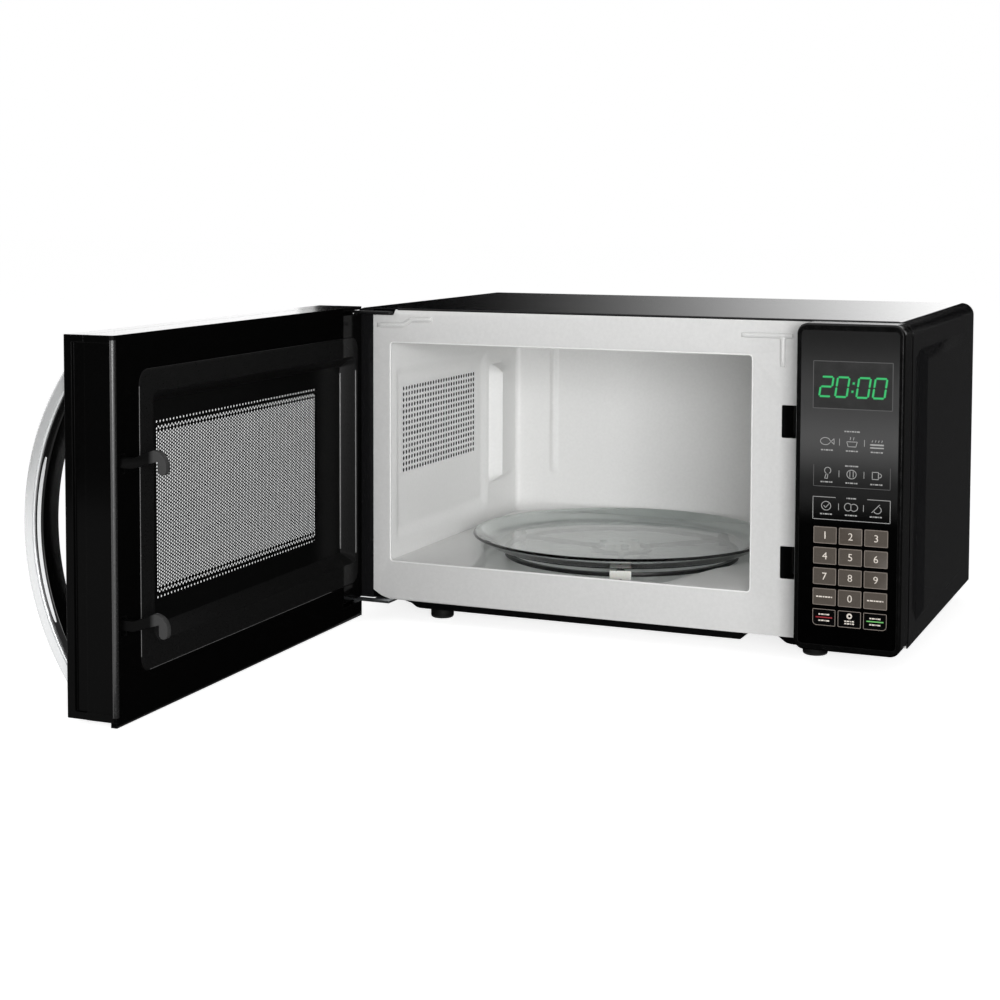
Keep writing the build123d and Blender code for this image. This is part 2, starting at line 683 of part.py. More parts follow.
# Magnetron: antenna into the waveguide, anode with cooling fins in a yoke, filter box behind
with BuildPart() as magnetron:
    with BuildSketch(facing_right(GUIDE_FACE)):
        with Locations((GUIDE_Y, GUIDE_Z)):
            Rectangle(MAGNETRON_W, MAGNETRON_H)
    extrude(amount=YOKE_L)
    with BuildSketch(facing_right(GUIDE_FACE + YOKE_T)):
        with Locations((GUIDE_Y, GUIDE_Z)):
            Rectangle(MAGNETRON_W, MAGNETRON_H - 2 * YOKE_T)
    extrude(amount=YOKE_L - 2 * YOKE_T, mode=Mode.SUBTRACT)
    with BuildSketch(facing_right(GUIDE_FACE)):
        with Locations((GUIDE_Y, GUIDE_Z)):
            Circle(ANODE_R)
    extrude(amount=YOKE_L)
    fin_pitch = (YOKE_L - 2 * YOKE_T) / (FIN_COUNT + 1)
    for fin in range(FIN_COUNT):
        with BuildSketch(facing_right(GUIDE_FACE + YOKE_T + (fin + 1) * fin_pitch)):
            with Locations((GUIDE_Y, GUIDE_Z)):
                Rectangle(MAGNETRON_W, MAGNETRON_H)
        extrude(amount=FIN_T)
    with BuildSketch(facing_right(GUIDE_FACE + YOKE_L)):
        with Locations((GUIDE_Y, GUIDE_Z)):
            Rectangle(FILTER_W, MAGNETRON_H)
    extrude(amount=FILTER_L)
    with BuildSketch(facing_right(GUIDE_FACE)):
        with Locations((GUIDE_Y, GUIDE_Z)):
            Circle(ANTENNA_R)
    extrude(amount=-ANTENNA_L)
save(magnetron, "magnetron")

# High-voltage transformer: steel core with a foot on the base plate, and its windings
CORE_Y = FRONT_Y + CORE_BACK
CORE_Z = BASE_Z + SHEET + CORE_FOOT_T
with BuildPart() as high_voltage_transformer:
    with BuildSketch(Plane.XY.offset(BASE_Z + SHEET)):
        with Locations((COMPARTMENT_X, CORE_Y)):
            Rectangle(CORE_W + 2 * CORE_FOOT_OUT, CORE_L)
    extrude(amount=CORE_FOOT_T)
    with BuildSketch(Plane.XY.offset(CORE_Z)):
        with Locations((COMPARTMENT_X, CORE_Y)):
            Rectangle(CORE_W, CORE_L)
    extrude(amount=CORE_H)
    with BuildSketch(facing_front(CORE_Y + CORE_L / 2 + WINDING_OUT)):
        with Locations((COMPARTMENT_X, CORE_Z + CORE_H / 2)):
            RectangleRounded(WINDING_W, WINDING_H, WINDING_R)
    extrude(amount=CORE_L + 2 * WINDING_OUT)
save(high_voltage_transformer, "high_voltage_transformer")

# High-voltage capacitor: oval can standing on the base plate, with two terminals
CAPACITOR_Y = REAR_Y - CAPACITOR_IN
with BuildPart() as high_voltage_capacitor:
    with BuildSketch(Plane.XY.offset(BASE_Z + SHEET)):
        with Locations((COMPARTMENT_X, CAPACITOR_Y)):
            SlotOverall(CAPACITOR_W, CAPACITOR_D)
    extrude(amount=CAPACITOR_H)
    with BuildSketch(Plane.XY.offset(BASE_Z + SHEET + CAPACITOR_H)):
        with Locations((COMPARTMENT_X, CAPACITOR_Y)):
            with GridLocations(TERMINAL_PITCH, 1, 2, 1):
                Circle(TERMINAL_R)
    extrude(amount=TERMINAL_H)
save(high_voltage_capacitor, "high_voltage_capacitor")

# Fan shroud: square duct against the rear panel, with a round inlet
SHROUD_Y = PANEL_BACK - SHROUD_D
with BuildPart() as fan_shroud:
    with BuildSketch(facing_front(PANEL_BACK)):
        with Locations((COMPARTMENT_X, FAN_Z)):
            Rectangle(SHROUD_W, SHROUD_W)
            Rectangle(SHROUD_W - 2 * SHROUD_T, SHROUD_W - 2 * SHROUD_T, mode=Mode.SUBTRACT)
    extrude(amount=SHROUD_D)
    with BuildSketch(facing_front(SHROUD_Y + SHROUD_T)):
        with Locations((COMPARTMENT_X, FAN_Z)):
            Rectangle(SHROUD_W, SHROUD_W)
            Circle(FAN_R + FAN_TIP_GAP, mode=Mode.SUBTRACT)
    extrude(amount=SHROUD_T)
save(fan_shroud, "fan_shroud")

# Fan motor: laminated core on two legs across the inlet, with the shaft that carries the fan
FAN_MOTOR_BACK = SHROUD_Y - FAN_LEG_L
FAN_FRONT = SHROUD_Y + SHROUD_T + SLIDE_GAP
FAN_LEG_PITCH = 2 * (FAN_R + FAN_TIP_GAP) + FAN_LEG_T
with BuildPart() as fan_motor:
    with BuildSketch(facing_front(FAN_MOTOR_BACK)):
        with Locations((COMPARTMENT_X, FAN_Z)):
            Rectangle(FAN_MOTOR_W, FAN_MOTOR_H)
    extrude(amount=FAN_MOTOR_T)
    with BuildSketch(facing_front(FAN_MOTOR_BACK)):
        with Locations((COMPARTMENT_X, FAN_Z)):
            Rectangle(FAN_LEG_PITCH + FAN_LEG_T, FAN_LEG_W)
    extrude(amount=FAN_LEG_T)
    with BuildSketch(facing_front(SHROUD_Y)):
        with Locations((COMPARTMENT_X, FAN_Z)):
            with GridLocations(FAN_LEG_PITCH, 1, 2, 1):
                Rectangle(FAN_LEG_T, FAN_LEG_W)
    extrude(amount=FAN_LEG_L)
    with BuildSketch(facing_front(FAN_MOTOR_BACK)):
        with Locations((COMPARTMENT_X, FAN_Z)):
            Circle(FAN_SHAFT_R)
    extrude(amount=-(FAN_FRONT + FAN_HUB_L - FAN_MOTOR_BACK))
save(fan_motor, "fan_motor")

# Cooling fan: hub with pitched blades, turning on the motor's shaft
with BuildPart() as fan_blade:
    with BuildSketch(facing_front(FAN_FRONT + FAN_HUB_L)):
        with Locations((COMPARTMENT_X, FAN_Z)):
            Circle(FAN_HUB_R)
    extrude(amount=FAN_HUB_L)
    fan_middle = Plane(
        origin=(COMPARTMENT_X, FAN_FRONT + FAN_HUB_L / 2, FAN_Z), x_dir=(1, 0, 0), z_dir=(0, -1, 0)
    )
    with Locations(fan_middle):
        with PolarLocations((FAN_R + BLADE_ROOT_R) / 2, FAN_BLADES):
            Box(FAN_R - BLADE_ROOT_R, BLADE_W, BLADE_T, rotation=(BLADE_PITCH, 0, 0))
    with BuildSketch(facing_front(FAN_FRONT + FAN_HUB_L)):
        with Locations((COMPARTMENT_X, FAN_Z)):
            Circle(FAN_SHAFT_R + RUN_GAP)
    extrude(amount=FAN_HUB_L, mode=Mode.SUBTRACT)
save(fan_blade, "fan_blade")

# Oven lamp: holder on the cavity wall behind the lamp's holes, with a bulb
with BuildPart() as oven_lamp:
    with BuildSketch(facing_right(CAVITY_WALL)):
        with Locations((LAMP_Y, LAMP_Z)):
            Rectangle(LAMP_W, LAMP_W)
            Rectangle(LAMP_W - 2 * LAMP_WALL, LAMP_W - 2 * LAMP_WALL, mode=Mode.SUBTRACT)
    extrude(amount=LAMP_L)
    with BuildSketch(facing_right(CAVITY_WALL + LAMP_L)):
        with Locations((LAMP_Y, LAMP_Z)):
            Rectangle(LAMP_W, LAMP_W)
    extrude(amount=LAMP_WALL)
    with BuildSketch(facing_right(CAVITY_WALL + LAMP_L)):
        with Locations((LAMP_Y, LAMP_Z)):
            Circle(LAMP_R)
    extrude(amount=-BULB_L)
save(oven_lamp, "oven_lamp")

# Thermal cut-out: disc on the cavity's roof
CUTOUT_PLACE = (CAVITY_RIGHT - CUTOUT_IN, TURN_Y + CUTOUT_BACK)
with BuildPart() as thermal_cutout:
    with BuildSketch(Plane.XY.offset(CAVITY_ROOF + SHEET)):
        with Locations(CUTOUT_PLACE):
            Rectangle(CUTOUT_EARS, CUTOUT_R)
    extrude(amount=SHEET)
    with BuildSketch(Plane.XY.offset(CAVITY_ROOF + SHEET)):
        with Locations(CUTOUT_PLACE):
            Circle(CUTOUT_R)
    extrude(amount=CUTOUT_H)
save(thermal_cutout, "thermal_cutout")

# Noise filter: small board on a bracket against the rear panel, with a coil and two capacitors
FILTER_Z = CAVITY_ROOF + SHEET
with BuildPart() as noise_filter:
    with BuildSketch(Plane.XY.offset(FILTER_Z)):
        rectangle_between(
            (COMPARTMENT_X - FILTER_BOARD_W / 2, COMPARTMENT_X + FILTER_BOARD_W / 2),
            (PANEL_BACK - FILTER_BOARD_L, PANEL_BACK),
        )
    extrude(amount=BOARD_T)
    with BuildSketch(Plane.XY.offset(FILTER_Z + BOARD_T)):
        with Locations((COMPARTMENT_X, PANEL_BACK - FILTER_BOARD_L / 2)):
            with GridLocations(FILTER_PITCH, 1, 3, 1):
                RectangleRounded(FILTER_PART_W, FILTER_PART_L, FILTER_PART_R)
    extrude(amount=FILTER_PART_H)
save(noise_filter, "noise_filter")

# Latch bracket: box behind the front plate with a pocket at each hook's slot
BRACKET_X = (SLOT_X - SLOT_W / 2 - BRACKET_WALL, SLOT_X + SLOT_W / 2 + BRACKET_WALL)
BRACKET_Z = (HOOK_ZS[0] - BRACKET_END, HOOK_ZS[1] + BRACKET_END)
with BuildPart() as latch_bracket:
    with BuildSketch(facing_front(PLATE_BACK)):
        rectangle_between(BRACKET_X, BRACKET_Z)
    extrude(amount=-BRACKET_DEPTH)
    for hook_z in HOOK_ZS:
        pocket_low = hook_z - HOOK_H / 2 - HOOK_DROP - LATCH_DOWN - SWING_GAP
        pocket_z = (pocket_low, hook_z + HOOK_H / 2 + SLOT_ABOVE)
        with BuildSketch(facing_front(PLATE_BACK)):
            rectangle_between(grown(BRACKET_X, -BRACKET_WALL), pocket_z)
        extrude(amount=BRACKET_WALL - BRACKET_DEPTH, mode=Mode.SUBTRACT)
save(latch_bracket, "latch_bracket")

# Door switches: three small switch bodies on the latch bracket
with BuildPart() as door_switches:
    with BuildSketch(facing_right(BRACKET_X[1])):
        for switch_z in (HOOK_ZS[0], HOOK_ZS[0] + SWITCH_PITCH, HOOK_ZS[1]):
            with Locations((PLATE_BACK + SWITCH_BACK + SWITCH_L / 2, switch_z)):
                Rectangle(SWITCH_L, SWITCH_H)
    extrude(amount=SWITCH_W)
save(door_switches, "door_switches")


# Keypad places, row by row from the top
KEY_ROWS = (
    ("key_1", "key_2", "key_3"),
    ("key_4", "key_5", "key_6"),
    ("key_7", "key_8", "key_9"),
    ("key_power", "key_0", "key_preset"),
    ("key_stop", "key_clock", "key_start"),
)
KEY_PLACES = {
    name: (KEYPAD_X + column * KEY_PITCH_X, KEYPAD_Z + (len(KEY_ROWS) - 1 - row) * KEY_PITCH_Z)
    for row, names in enumerate(KEY_ROWS)
    for column, name in enumerate(names)
}

# Control housing: plastic box open at the back, recessed for the overlay, bored for the key stems
with BuildPart() as control_housing:
    with BuildSketch(facing_front(FRONT_Y)):
        rectangle_between(PANEL_X, PANEL_Z)
    extrude(amount=PANEL_T)
    fillet(control_housing.edges().filter_by(Axis.Y), PANEL_EDGE_R)
    fillet(control_housing.faces().sort_by(Axis.Y)[0].edges(), PANEL_FRONT_R)
    with BuildSketch(facing_front(FRONT_Y)):
        rounded_between(
            grown(PANEL_X, -PANEL_WALL), grown(PANEL_Z, -PANEL_WALL), PANEL_EDGE_R - PANEL_WALL
        )
    extrude(amount=FRONT_Y - WALL_BACK, mode=Mode.SUBTRACT)
    with BuildSketch(facing_front(OVERLAY_BACK)):
        rounded_between(grown(PANEL_X, -OVERLAY_MARGIN_X), grown(PANEL_Z, -OVERLAY_MARGIN_Z), OVERLAY_R)
    extrude(amount=OVERLAY_T, mode=Mode.SUBTRACT)
    with BuildSketch(facing_front(OVERLAY_BACK)):
        with Locations(*KEY_PLACES.values()):
            Circle(STEM_R + RUN_GAP)
        with Locations((DISPLAY_X, DISPLAY_Z)):
            Rectangle(DISPLAY_W - 2 * DISPLAY_LIP, DISPLAY_H - 2 * DISPLAY_LIP)
    extrude(amount=-PANEL_WALL, mode=Mode.SUBTRACT)
    board_posts = [
        (x, z)
        for x in grown(PANEL_X, -POST_IN_X)
        for z in grown(PANEL_Z, -POST_IN_Z)
    ]
    with BuildSketch(facing_front(WALL_BACK)):
        with Locations(*board_posts):
            Circle(POST_R)
    extrude(amount=-(BOARD_FRONT - WALL_BACK))
save(control_housing, "control_housing")

# Keypad overlay: glossy front sheet with a window for each key and for the display
WINDOW_W = KEY_W + 2 * SLIDE_GAP
WINDOW_H = KEY_H + 2 * SLIDE_GAP
with BuildPart() as keypad_overlay:
    with BuildSketch(facing_front(OVERLAY_BACK)):
        rounded_between(
            grown(PANEL_X, -OVERLAY_MARGIN_X - SEAT_GAP),
            grown(PANEL_Z, -OVERLAY_MARGIN_Z - SEAT_GAP),
            OVERLAY_R - SEAT_GAP,
        )
        with Locations(*KEY_PLACES.values()):
            RectangleRounded(WINDOW_W, WINDOW_H, KEY_R + SLIDE_GAP, mode=Mode.SUBTRACT)
        with Locations((DISPLAY_X, DISPLAY_Z)):
            Rectangle(DISPLAY_W + 2 * SEAT_GAP, DISPLAY_H + 2 * SEAT_GAP, mode=Mode.SUBTRACT)
    extrude(amount=OVERLAY_T)
save(keypad_overlay, "keypad_overlay")

# Display window: tinted pane level with the overlay
with BuildPart() as display_window:
    with BuildSketch(facing_front(OVERLAY_BACK)):
        with Locations((DISPLAY_X, DISPLAY_Z)):
            Rectangle(DISPLAY_W, DISPLAY_H)
    extrude(amount=OVERLAY_T)
save(display_window, "display_window")

# Keys: thin caps in the overlay's windows, each on a stem that slides in the housing's wall
for name, place in KEY_PLACES.items():
    with BuildPart() as key:
        with BuildSketch(facing_front(KEY_FRONT + KEY_T)):
            with Locations(place):
                RectangleRounded(KEY_W, KEY_H, KEY_R)
        extrude(amount=KEY_T)
        with BuildSketch(facing_front(STEM_END)):
            with Locations(place):
                Circle(STEM_R)
        extrude(amount=STEM_L)
    save(key, name)

# Control board: circuit board on the housing's posts, with a switch behind each key and the display block
with BuildPart() as control_board:
    with BuildSketch(facing_front(BOARD_FRONT + BOARD_T)):
        rounded_between(
            grown(PANEL_X, -PANEL_WALL - BOARD_GAP),
            grown(PANEL_Z, -PANEL_WALL - BOARD_GAP),
            PANEL_EDGE_R - PANEL_WALL - BOARD_GAP,
        )
    extrude(amount=BOARD_T)
    with BuildSketch(facing_front(BOARD_FRONT)):
        with Locations(*KEY_PLACES.values()):
            Rectangle(TACT_W, TACT_W)
        with Locations((DISPLAY_X, DISPLAY_Z)):
            Rectangle(DISPLAY_W - 2 * DISPLAY_LIP - BOARD_GAP, DISPLAY_H - 2 * DISPLAY_LIP - BOARD_GAP)
    extrude(amount=TACT_T)
save(control_board, "control_board")

# Turntable motor: round can under the cavity's dish, with fixing ears and a bore for the coupler
MOTOR_TOP = TRACK_Z - SHEET
with BuildPart() as turntable_motor:
    with BuildSketch(Plane.XY.offset(MOTOR_TOP)):
        with Locations((TURN_X, TURN_Y)):
            Circle(MOTOR_R)
    extrude(amount=-MOTOR_H)
    with BuildSketch(Plane.XY.offset(MOTOR_TOP)):
        with Locations((TURN_X, TURN_Y)):
            SlotOverall(2 * (MOTOR_R + MOTOR_EAR), MOTOR_EAR)
    extrude(amount=-MOTOR_EAR_T)
    with BuildSketch(Plane.XY.offset(MOTOR_TOP)):
        with Locations((TURN_X, TURN_Y)):
            Circle(STUB_R + RUN_GAP)
    extrude(amount=-(STUB_L + SWING_GAP), mode=Mode.SUBTRACT)
save(turntable_motor, "turntable_motor")

# Drive coupler: lobed hub under the tray, on a stub that turns in the motor
COUPLER_LOW = TRACK_Z + SLIDE_GAP
COUPLER_TOP = TRAY_Z - SEAT_GAP
with BuildPart() as drive_coupler:
    with BuildSketch(Plane.XY.offset(COUPLER_LOW)):
        with Locations((TURN_X, TURN_Y)):
            Circle(COUPLER_R)
            with PolarLocations(COUPLER_R, COUPLER_LOBES):
                Circle(COUPLER_LOBE_R)
    extrude(amount=COUPLER_TOP - COUPLER_LOW)
    with BuildSketch(Plane.XY.offset(COUPLER_LOW)):
        with Locations((TURN_X, TURN_Y)):
            Circle(STUB_R)
    extrude(amount=-(COUPLER_LOW - MOTOR_TOP + STUB_L))
save(drive_coupler, "drive_coupler")

# Glass tray: turned dish with a raised rim, and lugs under it between the coupler's lobes
TRAY_FLAT_R = TRAY_R - TRAY_SLOPE_W
with BuildPart() as glass_tray:
    with BuildSketch(Plane(origin=(TURN_X, TURN_Y, TRAY_Z), x_dir=(1, 0, 0), z_dir=(0, -1, 0))) as profile:
        with BuildLine():
            Polyline(
                (TRAY_R, TRAY_RISE - TRAY_T),
                (TRAY_FLAT_R, 0),
                (0, 0),
                (0, TRAY_T),
                (TRAY_FLAT_R, TRAY_T),
                (TRAY_R - TRAY_T, TRAY_RISE),
                (TRAY_R, TRAY_RISE),
                close=True,
            )
        make_face()
        fillet(profile.vertices().group_by(Axis.Y)[-1], TRAY_LIP_R)
    revolve(axis=Axis((TURN_X, TURN_Y, 0), (0, 0, 1)))
    with BuildSketch(Plane.XY.offset(TRAY_Z)):
        with Locations((TURN_X, TURN_Y)):
            with PolarLocations(COUPLER_R + LUG_R, COUPLER_LOBES, start_angle=180.0 / COUPLER_LOBES):
                Circle(LUG_R - 2 * SLIDE_GAP)
    extrude(amount=-LUG_H)
save(glass_tray, "glass_tray")

# Roller ring: flat ring with three spokes, a hub ring round the coupler and an axle at each roller
ROLLER_ANGLES = [ROLLER_START + 360.0 * index / ROLLER_COUNT for index in range(ROLLER_COUNT)]
RING_Z = AXLE_Z - RING_H / 2


def roller_plane(angle, radius):
    """Upright plane across a roller's axle: x along the ring, y up, z outwards from the centre."""
    turn = math.radians(angle)
    return Plane(
        origin=(TURN_X + radius * math.cos(turn), TURN_Y + radius * math.sin(turn), AXLE_Z),
        x_dir=(-math.sin(turn), math.cos(turn), 0),
        z_dir=(math.cos(turn), math.sin(turn), 0),
    )


with BuildPart() as roller_ring:
    with BuildSketch(Plane.XY.offset(RING_Z)):
        with Locations((TURN_X, TURN_Y)):
            Circle(RING_R + RING_W / 2)
            Circle(RING_R - RING_W / 2, mode=Mode.SUBTRACT)
        with Locations((TURN_X, TURN_Y)):
            with PolarLocations((RING_HUB_R + RING_R) / 2, ROLLER_COUNT, start_angle=ROLLER_START):
                Rectangle(RING_R - RING_HUB_R, SPOKE_W)
        with Locations((TURN_X, TURN_Y)):
            Circle(RING_HUB_R + RING_HUB_W / 2)
            Circle(RING_HUB_R - RING_HUB_W / 2, mode=Mode.SUBTRACT)
    extrude(amount=RING_H)
    for angle in ROLLER_ANGLES:
        with BuildSketch(roller_plane(angle, RING_R)):
            Circle(AXLE_R)
        extrude(amount=CARRIER_R - RING_R)
save(roller_ring, "roller_ring")

# Roller carriers: notched plates on the axles' outer ends
with BuildPart() as roller_carriers:
    for angle in ROLLER_ANGLES:
        with BuildSketch(roller_plane(angle, CARRIER_R)):
            rectangle_between((-CARRIER_W / 2, CARRIER_W / 2), (-CARRIER_LOW, CARRIER_HIGH))
            with Locations((0, -CARRIER_LOW)):
                Circle(CARRIER_NOTCH_R, mode=Mode.SUBTRACT)
        extrude(amount=CARRIER_T)
save(roller_carriers, "roller_carriers")

# Rollers: small wheels that run in the dish and carry the tray
for index, angle in enumerate(ROLLER_ANGLES):
    with BuildPart() as roller:
        with BuildSketch(roller_plane(angle, RING_R + RING_W / 2 + SLIDE_GAP)):
            Circle(ROLLER_R)
            Circle(AXLE_R + RUN_GAP, mode=Mode.SUBTRACT)
        extrude(amount=ROLLER_W)
    save(roller, f"roller_{index + 1}")


# Hinges: flat steel arms reaching forward to the door's axis, each with a pin
HINGE_LEG_X = (HINGE_X + HINGE_REACH - HINGE_LEG_W, HINGE_X + HINGE_REACH)


def draw_hinge_arm():
    """Arm from the pin along the front of the body and a leg running back, in the sketch being drawn."""
    with Locations((HINGE_X, HINGE_Y)):
        Circle(HINGE_ARM_R)
    rectangle_between((HINGE_X, HINGE_LEG_X[1]), (HINGE_Y - HINGE_ARM_R, HINGE_Y + HINGE_ARM_R))
    rectangle_between(HINGE_LEG_X, (HINGE_Y, PLATE_BACK + HINGE_LEG_L))


with BuildPart() as upper_hinge:
    with BuildSketch(Plane.XY.offset(UPPER_HINGE_Z)):
        draw_hinge_arm()
    extrude(amount=HINGE_T)
    with BuildSketch(Plane.XY.offset(UPPER_HINGE_Z)):
        with Locations((HINGE_X, HINGE_Y)):
            Circle(PIN_R)
    extrude(amount=-PIN_L)
    with BuildSketch(facing_front(PLATE_BACK + HINGE_T)):
        rectangle_between(HINGE_LEG_X, (UPPER_HINGE_Z - HINGE_TAB_H, UPPER_HINGE_Z))
    extrude(amount=HINGE_T)
save(upper_hinge, "upper_hinge")

with BuildPart() as lower_hinge:
    with BuildSketch(Plane.XY.offset(LOWER_HINGE_Z)):
        draw_hinge_arm()
    extrude(amount=HINGE_T)
    with BuildSketch(Plane.XY.offset(BASE_Z)):
        with Locations((HINGE_X, HINGE_Y)):
            Circle(PIN_R)
    extrude(amount=PIN_L)
save(lower_hinge, "lower_hinge")

# Door frame: plastic tray with the choke's opening, hinge pockets and bores, the latch channel,
# an inset along the free edge and a lip along the bottom
LEVER_ALONG = (DOOR_FREE - LEVER_FREE_EDGE - LEVER_W, DOOR_FREE - LEVER_FREE_EDGE)
LEVER_IN = DOOR_IN + LEVER_SET
LEVER_UP = (HOOK_ZS[0] - LEVER_OVERHANG, HOOK_ZS[1] + LEVER_OVERHANG)
CHANNEL_IN = LEVER_IN - SLIDE_GAP
CHANNEL_UP = (LEVER_UP[0] - SPRING_L, LEVER_UP[1] + LATCH_UP + SWING_GAP)
EDGE_UP = (DOOR_LOW + EDGE_END, DOOR_TOP - EDGE_END)
HINGE_POCKET_ALONG = (DOOR_END - SWING_GAP, HINGE_REACH + SWING_GAP)
HINGE_POCKET_DEPTH = HINGE_ARM_R + SWING_GAP - DOOR_IN
with BuildPart() as door_frame:
    with BuildSketch(on_door(DOOR_IN)):
        rectangle_between((DOOR_END, DOOR_FREE), (DOOR_LOW, DOOR_TOP))
        rounded_between(
            grown(CHOKE_ALONG, SEAT_GAP), grown(CHOKE_UP, SEAT_GAP), CHOKE_R + SEAT_GAP, Mode.SUBTRACT
        )
    extrude(amount=FRAME_T)
    inner_edge = DOOR_PLANE.from_local_coords((DOOR_FREE, (DOOR_LOW + DOOR_TOP) / 2, DOOR_IN))
    fillet(door_frame.edges().filter_by(Axis.Z).sort_by_distance(inner_edge)[0], EDGE_R)
    with BuildSketch(across_door(DOOR_FREE)):
        rectangle_between((DOOR_IN + EDGE_R, DOOR_MID), EDGE_UP)
    extrude(amount=INSET_DEPTH, mode=Mode.SUBTRACT)
    with BuildSketch(on_door(DOOR_IN)):
        rectangle_between((DOOR_END, DOOR_FREE), (DOOR_LOW - LIP_DROP, DOOR_LOW))
    extrude(amount=LIP_T)
    with BuildSketch(on_door(SCREEN_OUT)):
        rectangle_between(
            (DOOR_END + FRAME_STILE, DOOR_FREE - FRAME_WALL),
            (DOOR_LOW + FRAME_WALL, DOOR_TOP - FRAME_WALL),
        )
    extrude(amount=DOOR_MID - SCREEN_OUT, mode=Mode.SUBTRACT)
    with BuildSketch(on_door(CHANNEL_IN)):
        rectangle_between(grown(LEVER_ALONG, SLIDE_GAP), CHANNEL_UP)
    extrude(amount=SCREEN_OUT - CHANNEL_IN, mode=Mode.SUBTRACT)
    with BuildSketch(on_door(DOOR_IN)):
        for hook_z in HOOK_ZS:
            slot_up = (hook_z - HOOK_H / 2 - LATCH_DOWN, hook_z + HOOK_H / 2 + LATCH_UP)
            rectangle_between(grown(HOOK_ALONG, SWING_GAP), grown(slot_up, SWING_GAP))
    extrude(amount=CHANNEL_IN - DOOR_IN, mode=Mode.SUBTRACT)
    for pocket_low in (UPPER_HINGE_Z, LOWER_HINGE_Z):
        with BuildSketch(on_door(DOOR_IN)):
            rectangle_between(HINGE_POCKET_ALONG, grown((pocket_low, pocket_low + HINGE_T), SWING_GAP))
        extrude(amount=HINGE_POCKET_DEPTH, mode=Mode.SUBTRACT)
    for bore_low in (UPPER_HINGE_Z - PIN_L - SWING_GAP, BASE_Z):
        with BuildSketch(Plane.XY.offset(bore_low)):
            with Locations((HINGE_X, HINGE_Y)):
                Circle(PIN_R + RUN_GAP)
        extrude(amount=PIN_L + SWING_GAP, mode=Mode.SUBTRACT)
save(door_frame, "door_frame")

# Door screen: flat metal sheet behind the choke cover, perforated over the window
with BuildPart() as door_screen:
    with BuildSketch(on_door(SCREEN_OUT)):
        rectangle_between(
            (DOOR_END + FRAME_STILE + SEAT_GAP, CHOKE_ALONG[1] + SCREEN_MARGIN),
            grown(CHOKE_UP, SCREEN_MARGIN),
        )
        with Locations(SCREEN_CENTRE):
            with GridLocations(SCREEN_PITCH, SCREEN_PITCH, SCREEN_COLUMNS, SCREEN_ROWS):
                Circle(SCREEN_HOLE_R, mode=Mode.SUBTRACT)
    extrude(amount=SCREEN_T)
save(door_screen, "door_screen")

# Choke cover: plastic trim with a flat land and a funnel down to the screen
with BuildPart() as choke_cover:
    with BuildSketch(on_door(DOOR_IN)):
        rounded_between(CHOKE_ALONG, CHOKE_UP, CHOKE_R)
    extrude(amount=CHOKE_T)
    for wall, mode in ((FUNNEL_WALL, Mode.ADD), (0.0, Mode.SUBTRACT)):
        with BuildSketch(on_door(DOOR_IN)):
            rounded_between(grown(LAND_ALONG, wall), grown(LAND_UP, wall), CHOKE_R)
        with BuildSketch(on_door(SCREEN_OUT)):
            rounded_between(grown(LAND_ALONG, wall - FUNNEL_IN), grown(LAND_UP, wall - FUNNEL_IN), CHOKE_R)
        loft(mode=mode)
save(choke_cover, "choke_cover")

# Door front: plastic bezel over the frame, with the window's opening, a rebate for its glass and
# a groove along the free edge
GLASS_OUT = DOOR_OUT - GLASS_SET_BACK
with BuildPart() as door_front:
    with BuildSketch(on_door(DOOR_MID)):
        rectangle_between((DOOR_END, DOOR_FREE), (DOOR_LOW, DOOR_TOP))
    extrude(amount=FRONT_T)
    fillet(door_front.edges().filter_by(Axis.Z).sort_by(Axis.X)[:2], FRONT_EDGE_R)
    with BuildSketch(across_door(DOOR_FREE)):
        rectangle_between((DOOR_MID, DOOR_OUT - BEZEL_T), EDGE_UP)
    extrude(amount=GROOVE_DEPTH, mode=Mode.SUBTRACT)
    with BuildSketch(on_door(DOOR_MID)):
        rounded_between(WINDOW_ALONG, WINDOW_UP, CHOKE_R)
    extrude(amount=FRONT_T, mode=Mode.SUBTRACT)
    with BuildSketch(on_door(DOOR_MID)):
        rounded_between(grown(WINDOW_ALONG, GLASS_REBATE), grown(WINDOW_UP, GLASS_REBATE), CHOKE_R)
    extrude(amount=GLASS_OUT - DOOR_MID, mode=Mode.SUBTRACT)
save(door_front, "door_front")

# Door window: tinted glass in the door front's rebate
GLASS_EDGE = GLASS_REBATE - SEAT_GAP
with BuildPart() as door_window:
    with BuildSketch(on_door(GLASS_OUT - GLASS_T)):
        rounded_between(grown(WINDOW_ALONG, GLASS_EDGE), grown(WINDOW_UP, GLASS_EDGE), CHOKE_R)
    extrude(amount=GLASS_T)
save(door_window, "door_window")

# Handle: a wide bow standing off the door front, and the liner under it
HANDLE_R = (HANDLE_SPAN**2 / 4 + HANDLE_RISE**2) / (2 * HANDLE_RISE)
HANDLE_FREE = DOOR_FREE - HANDLE_EDGE


def draw_bow(outer_r, inner_r):
    """The part of a ring that stands out from the door's front face, in the sketch being drawn."""
    with Locations((DOOR_OUT + HANDLE_RISE - HANDLE_R, HANDLE_Z)):
        Circle(outer_r)
        Circle(inner_r, mode=Mode.SUBTRACT)
    behind_face = (DOOR_OUT - 3 * HANDLE_R, DOOR_OUT)
    rectangle_between(behind_face, (HANDLE_Z - HANDLE_R, HANDLE_Z + HANDLE_R), Mode.SUBTRACT)


with BuildPart() as door_handle:
    with BuildSketch(across_door(HANDLE_FREE)):
        draw_bow(HANDLE_R, HANDLE_R - HANDLE_T)
    extrude(amount=HANDLE_W)
save(door_handle, "door_handle")

with BuildPart() as handle_liner:
    with BuildSketch(across_door(HANDLE_FREE - LINER_INSET)):
        draw_bow(HANDLE_R - HANDLE_T, HANDLE_R - HANDLE_T - LINER_T)
    extrude(amount=HANDLE_W - 2 * LINER_INSET)
save(handle_liner, "handle_liner")

